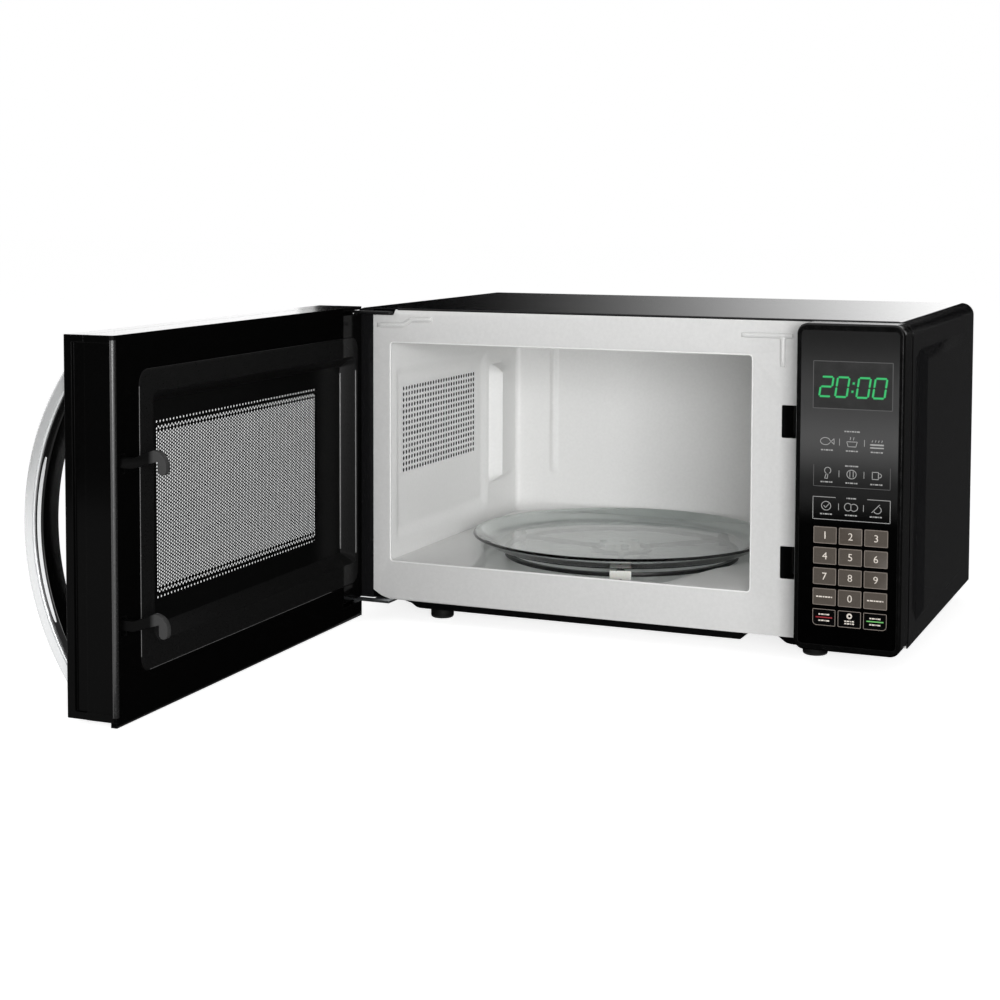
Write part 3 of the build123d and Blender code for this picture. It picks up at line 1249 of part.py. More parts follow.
# Latch lever: flat bar sliding in the door's channel, with two hooks through the inner face;
# each has a rising neck, a round head and a beak turned down
HOOK_END = DOOR_IN - HOOK_OUT
NECK_END = DOOR_IN - HOOK_NECK
HEAD_START = HOOK_END + HOOK_HEAD_R
BEAK_IN = HOOK_END + HOOK_BEAK_W
HEAD_BEND = HOOK_HEAD_R * math.sqrt(0.5)
with BuildPart() as latch_lever:
    with BuildSketch(on_door(LEVER_IN)):
        rectangle_between(LEVER_ALONG, LEVER_UP)
    extrude(amount=LEVER_T)
    for hook_z in HOOK_ZS:
        neck_top = hook_z + HOOK_H / 2
        neck_low = hook_z - HOOK_H / 2
        crown = neck_top + HOOK_RISE
        head_z = crown - HOOK_HEAD_R
        tip = neck_low - HOOK_DROP
        beak_z = tip + HOOK_BEAK_W / 2
        with BuildSketch(across_door(HOOK_ALONG[1])):
            with BuildLine():
                Polyline(
                    (HEAD_START, crown),
                    (NECK_END, neck_top),
                    (LEVER_IN, neck_top),
                    (LEVER_IN, neck_low),
                    (NECK_END, neck_low),
                    (BEAK_IN, neck_low + HOOK_RISE),
                    (BEAK_IN, beak_z),
                )
                ThreePointArc((BEAK_IN, beak_z), (HOOK_END + HOOK_BEAK_W / 2, tip), (HOOK_END, beak_z))
                Line((HOOK_END, beak_z), (HOOK_END, head_z))
                ThreePointArc(
                    (HOOK_END, head_z),
                    (HEAD_START - HEAD_BEND, head_z + HEAD_BEND),
                    (HEAD_START, crown),
                )
            make_face()
        extrude(amount=HOOK_W)
save(latch_lever, "latch_lever")

# Latch spring: wire coil between the channel's lower end and the lever
SPRING_MID = DOOR_PLANE.from_local_coords((
    (LEVER_ALONG[0] + LEVER_ALONG[1]) / 2,
    0,
    CHANNEL_IN + SLIDE_GAP + SPRING_R + SPRING_WIRE / 2,
))
SPRING_LOW = CHANNEL_UP[0] + SEAT_GAP / 2 + SPRING_WIRE / 2
SPRING_RISE = SPRING_L - SEAT_GAP - SPRING_WIRE


def coil_point(turns):
    """Point on the coil's centre line after a number of turns."""
    return (
        SPRING_MID.X + SPRING_R * math.cos(2 * math.pi * turns),
        SPRING_MID.Y + SPRING_R * math.sin(2 * math.pi * turns),
        SPRING_LOW + SPRING_RISE * turns / SPRING_TURNS,
    )


with BuildPart() as latch_spring:
    with BuildLine() as coil:
        for half in range(2 * SPRING_TURNS):
            ThreePointArc(coil_point(half / 2), coil_point(half / 2 + 0.25), coil_point(half / 2 + 0.5))
    with BuildSketch(Plane(origin=coil.line @ 0, z_dir=coil.line % 0)):
        Circle(SPRING_WIRE / 2)
    sweep()
save(latch_spring, "latch_spring")
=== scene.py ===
import math

import bpy
import numpy as np
from mathutils import Matrix, Vector
from mathutils.geometry import tessellate_polygon


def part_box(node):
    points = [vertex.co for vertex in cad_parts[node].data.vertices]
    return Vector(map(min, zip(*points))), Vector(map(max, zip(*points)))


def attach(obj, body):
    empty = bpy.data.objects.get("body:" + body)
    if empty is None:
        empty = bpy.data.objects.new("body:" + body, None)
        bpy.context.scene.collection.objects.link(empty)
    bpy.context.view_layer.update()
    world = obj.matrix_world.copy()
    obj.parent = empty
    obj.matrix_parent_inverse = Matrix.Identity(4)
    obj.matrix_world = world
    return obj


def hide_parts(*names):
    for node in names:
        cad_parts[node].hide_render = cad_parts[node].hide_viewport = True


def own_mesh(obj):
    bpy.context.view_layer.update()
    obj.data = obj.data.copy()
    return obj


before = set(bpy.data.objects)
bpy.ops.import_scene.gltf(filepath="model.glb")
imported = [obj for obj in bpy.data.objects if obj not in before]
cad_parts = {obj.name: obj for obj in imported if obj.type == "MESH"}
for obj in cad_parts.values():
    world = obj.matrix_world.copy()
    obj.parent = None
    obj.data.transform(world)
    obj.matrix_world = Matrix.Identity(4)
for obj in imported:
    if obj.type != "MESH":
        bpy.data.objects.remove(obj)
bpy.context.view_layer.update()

# Cavity box: the oven's room, folded and spot-welded from 1 mm sheet steel and stove-enamelled
# pale grey. Pressed fields and a raised pad stiffen its walls, a block of small holes lets the
# fan's air in, and the roller ring runs in a round dish in its floor.
MM = 0.001
ROOM_X = (-194.6, 107.4)
ROOM_Y = (-138.5, 134.5)
ROOM_Z = (48.3, 227.9)
ROOM_CORNER_R = 4.5
SHEET_T = 1.0
WALL_STEP = 3.5
VENT_PITCH = (5.47, 4.9)
VENT_COUNT = (28, 15)
VENT_CENTRE = (-35.1, 153.1)
VENT_HOLE_R = 1.85
VENT_T = 0.3
LAMP_PITCH = (4.0, 4.0)
LAMP_COUNT = (4, 4)
LAMP_CENTRE = (74.0, 205.9)
LAMP_HOLE_R = 1.3
POCKET_Y = (-129.0, 64.0)
POCKET_Z = (63.0, 207.0)
POCKET_SLOPE = 9.0
POCKET_DEPTH = 3.5
PAD_Y = (66.0, 73.0)
PAD_Z = (84.0, 195.0)
PAD_HEIGHT = 11.0
PAD_FALL = 56.0
PAD_END = 8.0
PAD_CREASE = 0.8
BEAD_X = -156.5
BEAD_Z = (86.0, 214.0)
BEAD_W = 5.0
BEAD_HEIGHT = 2.5
BEAD_END = 6.0
TURN = (-43.6, 2.0)
STUB_HOLE_R = 3.7
DISH_RING_R = 60.0
DISH_R = 118.2
DISH_FLOOR = 36.5
DISH_EDGE_R = 4.0
DISH_MOUTH = (78.0, 142.5)
NOISE_SPAN = (0.3, 0.7)
WEAR_AND_HIGHLIGHT_FROM = (0.98, 0.8)
SHARP_DEGREES = 40


def linear(hex_colour):
    """A colour written as sRGB hex, as the linear red, green, blue and alpha that sockets take."""
    srgb = np.array([int(hex_colour[place:place + 2], 16) for place in (1, 3, 5)]) / 255
    high = ((srgb + 0.055) / 1.055) ** 2.4
    return (*np.where(srgb <= 0.04045, srgb / 12.92, high), 1.0)


def add_node(tree, kind, settings=None, links=None):
    """Add a shader node, set its properties and sockets, and link its sockets to other outputs."""
    node = tree.nodes.new("ShaderNode" + kind)
    for key, value in (settings or {}).items():
        if isinstance(key, str) and hasattr(node, key):
            setattr(node, key, value)
        else:
            node.inputs[key].default_value = value
    for key, output in (links or {}).items():
        tree.links.new(output, node.inputs[key])
    return node


def plain_material(name, sockets):
    """A Principled surface with constant values on its own sockets, its tree and its shader."""
    material = bpy.data.materials.new(name)
    material.use_nodes = True
    shader = material.node_tree.nodes["Principled BSDF"]
    for socket, value in sockets.items():
        shader.inputs[socket].default_value = value
    return material, material.node_tree, shader


def new_material(name, sockets, grain_mm, colours, roughness, height_mm, detail=3.0, wear_and_highlight=None):
    """A Principled surface with a fine grain. A noise as coarse as the grain's real size moves
    the colour between two shades and the roughness between two values, and lifts the surface.
    Where an edge colour and width are given, edges that narrow are lightened towards that
    colour: partly wear, partly a painted highlight along the edges."""
    material, tree, shader = plain_material(name, sockets)
    place = add_node(tree, "TexCoord").outputs["Object"]
    noise = add_node(tree, "TexNoise", {"Scale": 1 / (grain_mm * MM), "Detail": detail},
                     {"Vector": place}).outputs["Fac"]
    ramp = add_node(tree, "ValToRGB", links={"Fac": noise})
    for stop in (0, 1):
        ramp.color_ramp.elements[stop].position = NOISE_SPAN[stop]
        ramp.color_ramp.elements[stop].color = linear(colours[stop])
    colour = ramp.outputs["Color"]
    # Edges lightened by a bevel mask: partly wear, partly a painted highlight.
    if wear_and_highlight:
        rounded = add_node(tree, "Bevel", {"samples": 4, "Radius": wear_and_highlight[1] * MM})
        flat = add_node(tree, "NewGeometry")
        match = add_node(tree, "VectorMath", {"operation": "DOT_PRODUCT"},
                         {0: rounded.outputs["Normal"], 1: flat.outputs["Normal"]})
        wear_and_highlight_share = add_node(tree, "MapRange", {"From Min": WEAR_AND_HIGHLIGHT_FROM[0], "From Max": WEAR_AND_HIGHLIGHT_FROM[1]},
                       {"Value": match.outputs["Value"]})
        colour = add_node(tree, "Mix", {"data_type": "RGBA", 7: linear(wear_and_highlight[0])},
                          {0: wear_and_highlight_share.outputs["Result"], 6: colour}).outputs[2]
    gloss = add_node(tree, "MapRange", {"From Min": NOISE_SPAN[0], "From Max": NOISE_SPAN[1],
                                        "To Min": roughness[0], "To Max": roughness[1]},
                     {"Value": noise})
    bump = add_node(tree, "Bump", {"Strength": 1.0, "Distance": height_mm * MM}, {"Height": noise})
    tree.links.new(colour, shader.inputs["Base Color"])
    tree.links.new(gloss.outputs["Result"], shader.inputs["Roughness"])
    tree.links.new(bump.outputs["Normal"], shader.inputs["Normal"])
    return material


def joined(*parts):
    """Coordinates given one by one, as numbers or arrays, made into one array of points."""
    return np.stack(np.broadcast_arrays(*parts), axis=-1)


def arc(start, end, count):
    """Points on the unit circle, evenly from a start to an end in degrees."""
    turn = np.radians(np.linspace(start, end, count))
    return joined(np.cos(turn), np.sin(turn))


def about(centre, half):
    """The range that reaches half a width to either side of a centre."""
    return centre - half, centre + half


def shrunk(limits, by):
    """A range with both its limits moved in."""
    return limits[0] + by, limits[1] - by


def spaced(stops, step):
    """Places from the first stop to the last, about a step apart, with every stop among them."""
    runs = [np.linspace(a, b, max(2, round(abs(b - a) / step) + 1))[:-1]
            for a, b in zip(stops, stops[1:])]
    return np.concatenate(runs + [np.array(stops[-1:])])


def smooth_step(t):
    """0 below 0, 1 above 1, and three t squared less two t cubed between."""
    t = np.clip(t, 0, 1)
    return t * t * (3 - 2 * t)


def eased(place, limits, slope):
    """1 between two limits and 0 outside them, eased over a slope inside each limit."""
    return smooth_step(np.minimum(place - limits[0], limits[1] - place) / slope)


def grid(points, wrap_columns=False):
    """A patch from points in rows and columns: every four neighbours make one face, and wrapped
    columns join the last one to the first."""
    rows, columns = points.shape[:2]
    order = np.arange(rows * columns).reshape(rows, columns)
    if wrap_columns:
        order = np.concatenate((order, order[:, :1]), axis=1)
    faces = joined(order[:-1, :-1], order[1:, :-1], order[1:, 1:], order[:-1, 1:])
    return points.reshape(-1, points.shape[-1]), faces.reshape(-1, 4)


def perforated(centres, pitch, hole_r, sides):
    """Flat cells of one pitch, each with a round hole: an outer ring of points on the cell's
    border and an inner ring on the hole's circle, joined by one face for each side."""
    half = np.array(pitch) / 2
    corner = math.atan2(half[1], half[0])
    rays = [0, corner, math.pi - corner, math.pi, math.pi + corner, -corner]
    if sides == 8:
        rays.insert(2, math.pi / 2)
        rays.insert(6, 1.5 * math.pi)
    ray = joined(np.cos(rays), np.sin(rays))
    border = ray / np.max(np.abs(ray) / half, axis=1, keepdims=True)
    cell = np.concatenate((border, hole_r * arc(0, 360, sides + 1)[:-1]))
    here = np.arange(sides)
    after = (here + 1) % sides
    faces = joined(here, after, after + sides, here + sides)
    first = np.arange(len(centres)) * 2 * sides
    return ((centres[:, None] + cell).reshape(-1, 2),
            (first[:, None, None] + faces).reshape(-1, 4))


def hole_block(count, pitch, hole_r):
    """Perforated cells in columns and rows, from the corner of a block of holes."""
    column, row = np.meshgrid(np.arange(count[0]), np.arange(count[1]), indexing="ij")
    return perforated(joined(column.ravel() + 0.5, row.ravel() + 0.5) * pitch, pitch, hole_r, 8)


def block_limits(centre, count, pitch):
    """The two ranges that a block of holes takes up about its centre."""
    return tuple(zip(*about(np.array(centre), np.array(pitch) * count / 2)))


def in_block(places, limits):
    """Whether places on a wall, by depth and height, lie within a block of holes."""
    low, high = np.array(limits).T
    return ((places[:, 1:] > low) & (places[:, 1:] < high)).all(axis=1)


def make_piece(name, patches, material, body):
    """Join patches of points in millimetres and faces into one object that rides on a body."""
    starts = np.cumsum([0] + [len(points) for points, _ in patches])
    points = np.concatenate([points for points, _ in patches]) * MM
    corners = [(faces + start).ravel() for (_, faces), start in zip(patches, starts)]
    corners = np.concatenate(corners).astype(np.int32)
    sizes = np.concatenate([np.full(len(faces), faces.shape[1]) for _, faces in patches])
    mesh = bpy.data.meshes.new(name)
    mesh.vertices.add(len(points))
    mesh.vertices.foreach_set("co", points.ravel().astype(np.float32))
    mesh.loops.add(len(corners))
    mesh.loops.foreach_set("vertex_index", corners)
    mesh.polygons.add(len(sizes))
    mesh.polygons.foreach_set("loop_start", (np.cumsum(sizes) - sizes).astype(np.int32))
    mesh.polygons.foreach_set("use_smooth", np.ones(len(sizes), bool))
    mesh.update(calc_edges=True)
    mesh.set_sharp_from_angle(angle=math.radians(SHARP_DEGREES))
    mesh.materials.append(material)
    piece = bpy.data.objects.new(name, mesh)
    bpy.context.scene.collection.objects.link(piece)
    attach(piece, body)
    return piece


def thicken(piece, thickness):
    """Turn a sheet into a closed plate, with its thickness on the side away from its normals;
    shading then follows the large faces, so that flat parts stay flat up to their edges."""
    solid = piece.modifiers.new("sheet_thickness", "SOLIDIFY")
    solid.thickness = thickness * MM
    solid.offset = -1.0
    shading = piece.modifiers.new("flat_shading", "WEIGHTED_NORMAL")
    shading.keep_sharp = True


# Sprayed and stoved enamel: an orange peel a few millimetres across that softens its highlights.
white_enamel = new_material(
    "stoved_white_enamel", {"IOR": 1.5}, grain_mm=2.5, colours=("#f0f0ef", "#f4f4f3"),
    roughness=(0.32, 0.38), height_mm=0.003,
)

# The three walls are one plan line, left wall, rounded corner, back, corner and right wall,
# carried up the height; each point then moves along its wall's normal by the pressings.
vent_y, vent_z = vent_limits = block_limits(VENT_CENTRE, VENT_COUNT, VENT_PITCH)
lamp_y, lamp_z = lamp_limits = block_limits(LAMP_CENTRE, LAMP_COUNT, LAMP_PITCH)
corner_x = shrunk(ROOM_X, ROOM_CORNER_R)
corner_y = ROOM_Y[1] - ROOM_CORNER_R
left_arc = arc(180, 90, 9)[1:-1]
right_arc = left_arc[::-1] * (-1, 1)
left_y = spaced((ROOM_Y[0], *vent_y, PAD_Y[0] - PAD_CREASE, PAD_Y[0], PAD_Y[0] + PAD_CREASE,
                 PAD_Y[1] - PAD_CREASE, PAD_Y[1], PAD_Y[1] + PAD_FALL, corner_y), WALL_STEP)
back_x = np.union1d(spaced(corner_x, WALL_STEP), np.linspace(*about(BEAD_X, BEAD_W), 15))
right_y = spaced((corner_y, lamp_y[1], lamp_y[0], ROOM_Y[0]), WALL_STEP)
plan = np.concatenate((
    joined(ROOM_X[0], left_y), ROOM_CORNER_R * left_arc + (corner_x[0], corner_y),
    joined(back_x, ROOM_Y[1]), ROOM_CORNER_R * right_arc + (corner_x[1], corner_y),
    joined(ROOM_X[1], right_y),
))
outward = np.concatenate((
    joined(-1.0, 0 * left_y), left_arc, joined(0 * back_x, 1.0), right_arc,
    joined(1.0, 0 * right_y),
))
on_left, on_back = outward[:, :1] == -1, outward[:, 1:] == 1
wall_x, wall_y = plan[:, :1], plan[:, 1:]
wall_z = spaced((ROOM_Z[0], *vent_z, *lamp_z, ROOM_Z[1]), WALL_STEP)
inside = np.minimum(np.minimum(wall_y - POCKET_Y[0], POCKET_Y[1] - wall_y),
                    np.minimum(wall_z - POCKET_Z[0], POCKET_Z[1] - wall_z))
pocket = POCKET_DEPTH * smooth_step(inside / POCKET_SLOPE)
pad_rise = np.clip((wall_y - PAD_Y[0]) / (PAD_Y[1] - PAD_Y[0]), 0, 1)
pad_fall = np.clip((PAD_Y[1] + PAD_FALL - wall_y) / PAD_FALL, 0, 1)
pad = PAD_HEIGHT * pad_rise * pad_fall * eased(wall_z, PAD_Z, PAD_END)
bead_across = np.cos(np.clip((wall_x - BEAD_X) / BEAD_W, -1, 1) * math.pi / 2) ** 2
bead = BEAD_HEIGHT * bead_across * eased(wall_z, BEAD_Z, BEAD_END)
push = on_left * (pocket - pad) - on_back * bead
wall_points, wall_faces = grid(
    joined(wall_x + push * outward[:, :1], wall_y + push * outward[:, 1:], wall_z)
)
middle = wall_points[wall_faces].mean(axis=1)
in_vent = (middle[:, 0] < ROOM_X[0] + SHEET_T) & in_block(middle, vent_limits)
in_lamp = (middle[:, 0] > ROOM_X[1] - SHEET_T) & in_block(middle, lamp_limits)
wall_faces = wall_faces[~(in_vent | in_lamp)]
vent_flat, vent_faces = hole_block(VENT_COUNT, VENT_PITCH, VENT_HOLE_R)
vent_points = joined(ROOM_X[0] - POCKET_DEPTH, vent_y[0] + vent_flat[:, 0],
                     vent_z[0] + vent_flat[:, 1])
lamp_flat, lamp_faces = hole_block(LAMP_COUNT, LAMP_PITCH, LAMP_HOLE_R)
lamp_points = joined(ROOM_X[1], lamp_y[1] - lamp_flat[:, 0], lamp_z[0] + lamp_flat[:, 1])

# The floor goes out from the drive's hole along rays: flat dish, rounded step, and flat again
# to where each ray meets the walls. The dish's edge is a circle, or the slanting lines by which
# the dish runs out to the front where they lie farther out. Corners have rays of their own.
front_reach = TURN[1] - ROOM_Y[0]
floor_corners = np.concatenate((
    np.array([(x, y) for x in ROOM_X for y in ROOM_Y]) - TURN,
    [(-DISH_MOUTH[0], -front_reach), (DISH_MOUTH[0], -front_reach)],
))
corner_rays = np.arctan2(floor_corners[:, 1], floor_corners[:, 0]) % (2 * math.pi)
rays = np.union1d(np.linspace(0, 2 * math.pi, 181)[:-1], corner_rays)
ray = joined(np.cos(rays), np.sin(rays))
across, toward = np.maximum(np.abs(ray), 1e-9).T
reach_x = np.where(ray[:, 0] > 0, ROOM_X[1] - TURN[0], TURN[0] - ROOM_X[0]) / across
reach_y = np.where(ray[:, 1] > 0, ROOM_Y[1] - TURN[1], front_reach) / toward
reach = np.minimum(reach_x, reach_y)
slant = (DISH_R - DISH_MOUTH[0]) / DISH_MOUTH[1]
run_out = np.where(ray[:, 1] < 0, DISH_R / (across + slant * toward), 0)
bend = arc(0, 90, 8)
step = np.concatenate((
    bend[:, ::-1] * (DISH_EDGE_R, -DISH_EDGE_R) + (-DISH_EDGE_R, DISH_FLOOR + DISH_EDGE_R),
    bend * (-DISH_EDGE_R, DISH_EDGE_R) + (DISH_EDGE_R, ROOM_Z[0] - DISH_EDGE_R),
))
step_r = np.minimum(np.maximum(DISH_R, run_out) + step[:, :1], reach)
inner_r = np.array((STUB_HOLE_R, DISH_RING_R))
share = np.linspace(0, 1, 5)[1:]
radius = np.concatenate((inner_r[:, None] + 0 * reach, step_r,
                         step_r[-1:] + share[:, None] * (reach - step_r[-1:])))
level = np.concatenate((0 * inner_r + DISH_FLOOR, step[:, 1], 0 * share + ROOM_Z[0]))
floor = joined(TURN[0] + radius * ray[:, 0], TURN[1] + radius * ray[:, 1], level[:, None])
roof = joined(np.linspace(*ROOM_X, 13)[:, None], np.linspace(*ROOM_Y[::-1], 13), ROOM_Z[1])

cavity = make_piece(
    "cavity_walls", [(wall_points, wall_faces), (lamp_points, lamp_faces),
                     grid(floor, wrap_columns=True), grid(roof)],
    white_enamel, "cabinet",
)
thicken(cavity, SHEET_T)
vents = make_piece("vent_block", [(vent_points, vent_faces)], white_enamel,
                   "cabinet")
thicken(vents, VENT_T)
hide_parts("cavity_box")

# Front plate: pressed steel that closes the gap between cavity and cabinet, enamelled with the
# cavity. Its opening is rolled inwards, two slots take the door's hooks, and shallow beads
# stiffen its upper corners.
PLATE_Y = -141.5
PLATE_X = (-210.3, 226.0)
PLATE_Z = (16.0, 255.5)
PLATE_CUT = (15.0, 6.7)
PLATE_NOTCH = (18.0, 4.8)
PLATE_NOTCH_LEAN = 2.4
PLATE_BEND_R = 10.0
ROLL_R = 1.2
MOUTH_R = 2.5
SLOT_X = (131.0, 143.0)
SLOT_ZS = ((60.2, 85.0), (166.9, 191.7))
SLOT_CORNER_R = 1.0
PLATE_BEAD_W = 3.2
PLATE_BEAD_H = 0.8
PLATE_BEAD_SINK = 0.02
PLATE_BEAD_STEP = 1.0
PLATE_BEADS = (
    ((-206.0, 242.4), (-182.5, 243.1), (-175.3, 247.4), (-157.4, 247.9)),
    ((99.9, 243.7), (138.9, 243.7)),
    ((131.4, 243.7), (131.4, 220.4)),
)


def rounded_rectangle(u_range, v_range, radius, arc_points=6):
    """Points counter-clockwise round a rectangle whose corners are arcs. One radius serves all,
    or four give the upper right, upper left, lower left and lower right."""
    quarter = arc(0, 90, arc_points)
    r = np.broadcast_to(radius, 4)
    return np.concatenate((
        quarter * r[0] + (u_range[1] - r[0], v_range[1] - r[0]),
        quarter[:, ::-1] * (-r[1], r[1]) + (u_range[0] + r[1], v_range[1] - r[1]),
        -quarter * r[2] + (u_range[0] + r[2], v_range[0] + r[2]),
        quarter[:, ::-1] * (r[3], -r[3]) + (u_range[1] - r[3], v_range[0] + r[3]),
    ))


def flat_sheet(outlines):
    """The flat area inside the first outline and outside the others, as triangles that turn
    counter-clockwise."""
    faces = np.array(tessellate_polygon([[(u, v, 0.0) for u, v in line] for line in outlines]))
    points = np.concatenate(outlines)
    a, b, c = (points[faces[:, place]] for place in range(3))
    area = (b - a)[:, 0] * (c - a)[:, 1] - (b - a)[:, 1] * (c - a)[:, 0]
    faces[area < 0] = faces[area < 0][:, ::-1]
    return points, faces[np.abs(area) > 1e-9]


def along(stops, step):
    """Points about a step apart on the straight runs between stops, and each point's unit
    normal, a quarter turn to the left of the line."""
    stops = np.array(stops, float)
    runs = np.linalg.norm(np.diff(stops, axis=0), axis=1)
    far = np.concatenate(([0], np.cumsum(runs)))
    s = spaced(tuple(far), step)
    line = joined(*[np.interp(s, far, stops[:, axis]) for axis in (0, 1)])
    heading = np.gradient(line, axis=0)
    heading /= np.linalg.norm(heading, axis=1, keepdims=True)
    return line, joined(-heading[:, 1], heading[:, 0]), s


def mouth(grow):
    """The opening's outline, grown evenly outwards from the cavity's walls."""
    return rounded_rectangle(shrunk(ROOM_X, -grow), shrunk(ROOM_Z, -grow), MOUTH_R + grow)


plate_outline = np.concatenate((
    [(PLATE_X[0], PLATE_Z[0] + PLATE_CUT[1]),
     (PLATE_X[0] + PLATE_CUT[0] / 2, PLATE_Z[0] + PLATE_CUT[1] / 3),
     (PLATE_X[0] + PLATE_CUT[0], PLATE_Z[0]), (PLATE_X[1], PLATE_Z[0])],
    PLATE_BEND_R * arc(0, 90, 7) + (PLATE_X[1] - PLATE_BEND_R, PLATE_Z[1] - PLATE_BEND_R),
    [(PLATE_X[0] + PLATE_NOTCH[0] + PLATE_NOTCH_LEAN, PLATE_Z[1]),
     (PLATE_X[0] + PLATE_NOTCH[0], PLATE_Z[1] - PLATE_NOTCH[1]),
     (PLATE_X[0], PLATE_Z[1] - PLATE_NOTCH[1])],
))
slots = [rounded_rectangle(SLOT_X, slot_z, SLOT_CORNER_R, 3) for slot_z in SLOT_ZS]
plate_flat, plate_faces = flat_sheet([plate_outline, mouth(ROLL_R), *slots])
plate_patches = [(joined(plate_flat[:, 0], PLATE_Y, plate_flat[:, 1]), plate_faces)]
bead_share = np.linspace(-1, 1, 7)
for stops in PLATE_BEADS:
    line, normal, s = along(stops, PLATE_BEAD_STEP)
    flat = line[:, None] - normal[:, None] * bead_share[:, None] * PLATE_BEAD_W / 2
    crown = eased(s, (0, s[-1]), PLATE_BEAD_W)[:, None] * (0.5 + 0.5 * np.cos(bead_share * math.pi))
    bead_y = PLATE_Y + PLATE_BEAD_SINK - PLATE_BEAD_H * crown
    plate_patches.append(grid(joined(flat[..., 0], bead_y, flat[..., 1])))
# The same enamel, painted a shade greyer so that the plate reads darker than the cavity's walls:
# painted shade. Its edges are lightened where the sheet turns: a painted highlight.
plate_enamel = new_material(
    "stoved_white_enamel_painted_shade", {"IOR": 1.5}, grain_mm=2.5, colours=("#cfcfce", "#d4d4d3"),
    roughness=(0.32, 0.38), height_mm=0.003, wear_and_highlight=("#f8f8f7", 0.9),
)
plate = make_piece("pressed_front_plate", plate_patches, plate_enamel,
                   "cabinet")
thicken(plate, SHEET_T)
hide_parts("front_plate")

# The opening's edge rolls in by a quarter circle and runs straight back to the cavity.
roll_turn = arc(0, 90, 7)
roll_grow = np.append(ROLL_R - ROLL_R * roll_turn[:, 1], 0.0)
roll_lines = np.stack([mouth(grow)[::-1] for grow in roll_grow])
roll_y = np.append(PLATE_Y + ROLL_R - ROLL_R * roll_turn[:, 0], ROOM_Y[0])
roll = joined(roll_lines[..., 0], roll_y[:, None], roll_lines[..., 1])
mouth_roll = make_piece("rolled_mouth_edge", [grid(roll, wrap_columns=True)], white_enamel,
                        "cabinet")
thicken(mouth_roll, SHEET_T)

# Base plate and feet: a black-coated steel tray with a pressed bulge under the cavity, and four
# rubber-like buttons on pressed bosses. The screws and the motor under the dish hang from it.
WELD_MM = 0.01
FLAT_DEGREES = 1


def dress(names, material, edge_mm=0.0, segments=2):
    """Give CAD nodes their material. Where an edge is wanted, the triangles are welded, the flat
    ones joined, and every sharp edge rounded, as moulding and pressing leave it."""
    for name in names:
        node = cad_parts[name]
        for place in node.material_slots:
            place.material = material
        if edge_mm:
            weld = node.modifiers.new("weld_triangles", "WELD")
            weld.merge_threshold = WELD_MM * MM
            flat = node.modifiers.new("join_flat_faces", "DECIMATE")
            flat.decimate_type = "DISSOLVE"
            flat.angle_limit = math.radians(FLAT_DEGREES)
            edge = node.modifiers.new("round_edges", "BEVEL")
            edge.width = edge_mm * MM
            edge.segments = segments
            edge.limit_method = "ANGLE"
            edge.angle_limit = math.radians(SHARP_DEGREES)
            edge.harden_normals = True


# Coil-coated steel: a hard black film with a slight pebble, dull beside sprayed paint.
coated_steel = new_material(
    "coil_coated_black_steel", {"IOR": 1.5, "Specular IOR Level": 0.2}, grain_mm=1.6,
    colours=("#0a0a0b", "#0e0e0f"), roughness=(0.42, 0.52), height_mm=0.02,
)
# Moulded rubber-like feet: matt, with the spark-eroded mould's fine grain.
foot_rubber = new_material(
    "moulded_foot_rubber", {"IOR": 1.5, "Specular IOR Level": 0.2}, grain_mm=0.9,
    colours=("#0b0b0b", "#101010"), roughness=(0.6, 0.75), height_mm=0.03,
)
dress(["base_plate"], coated_steel)
dress(["feet"], foot_rubber, 0.8)

# Works behind the cavity: magnetron, waveguide, transformer, capacitor, fan, lamp, cut-out,
# boards, switches and drive motor, bolted to the cavity, base and panel. They show only through
# the holes and slots.

# Bright zinc plating: small blue-grey spangles that scatter the light.
zinc = new_material(
    "bright_zinc_plated_steel", {"Metallic": 1.0}, grain_mm=1.2, colours=("#a3a7ab", "#b9bcbf"),
    roughness=(0.28, 0.42), height_mm=0.006,
)
# Stacked iron sheets under brown varnish: dull, with dark seams.
core_iron = new_material(
    "varnished_iron_laminations", {"Metallic": 0.6}, grain_mm=0.8, colours=("#3a332d", "#544a41"),
    roughness=(0.45, 0.65), height_mm=0.04,
)
# Deep-drawn aluminium: drawing lines blur its highlights.
drawn_can = new_material(
    "deep_drawn_aluminium", {"Metallic": 1.0}, grain_mm=0.7, colours=("#b4b6b8", "#c6c8ca"),
    roughness=(0.3, 0.42), height_mm=0.005,
)
# Epoxy board under solder mask: green lacquer over a faint glass weave.
board = new_material(
    "solder_masked_board", {"IOR": 1.5}, grain_mm=0.6, colours=("#1f5a33", "#2a6b3d"),
    roughness=(0.35, 0.5), height_mm=0.01,
)
# Pressed mica: flakes of silvery buff, each at its own slight tilt.
mica = new_material(
    "pressed_mica_sheet", {"IOR": 1.58}, grain_mm=3.0, colours=("#a89c86", "#cbc1ad"),
    roughness=(0.35, 0.55), height_mm=0.03,
)
# Injection-moulded nylon: milky white with a soft, slightly waxy sheen.
nylon = new_material(
    "moulded_white_nylon", {"IOR": 1.53, "Subsurface Weight": 0.1, "Subsurface Scale": 0.002},
    grain_mm=1.4, colours=("#e4e3dd", "#eeede8"), roughness=(0.36, 0.46), height_mm=0.01,
)
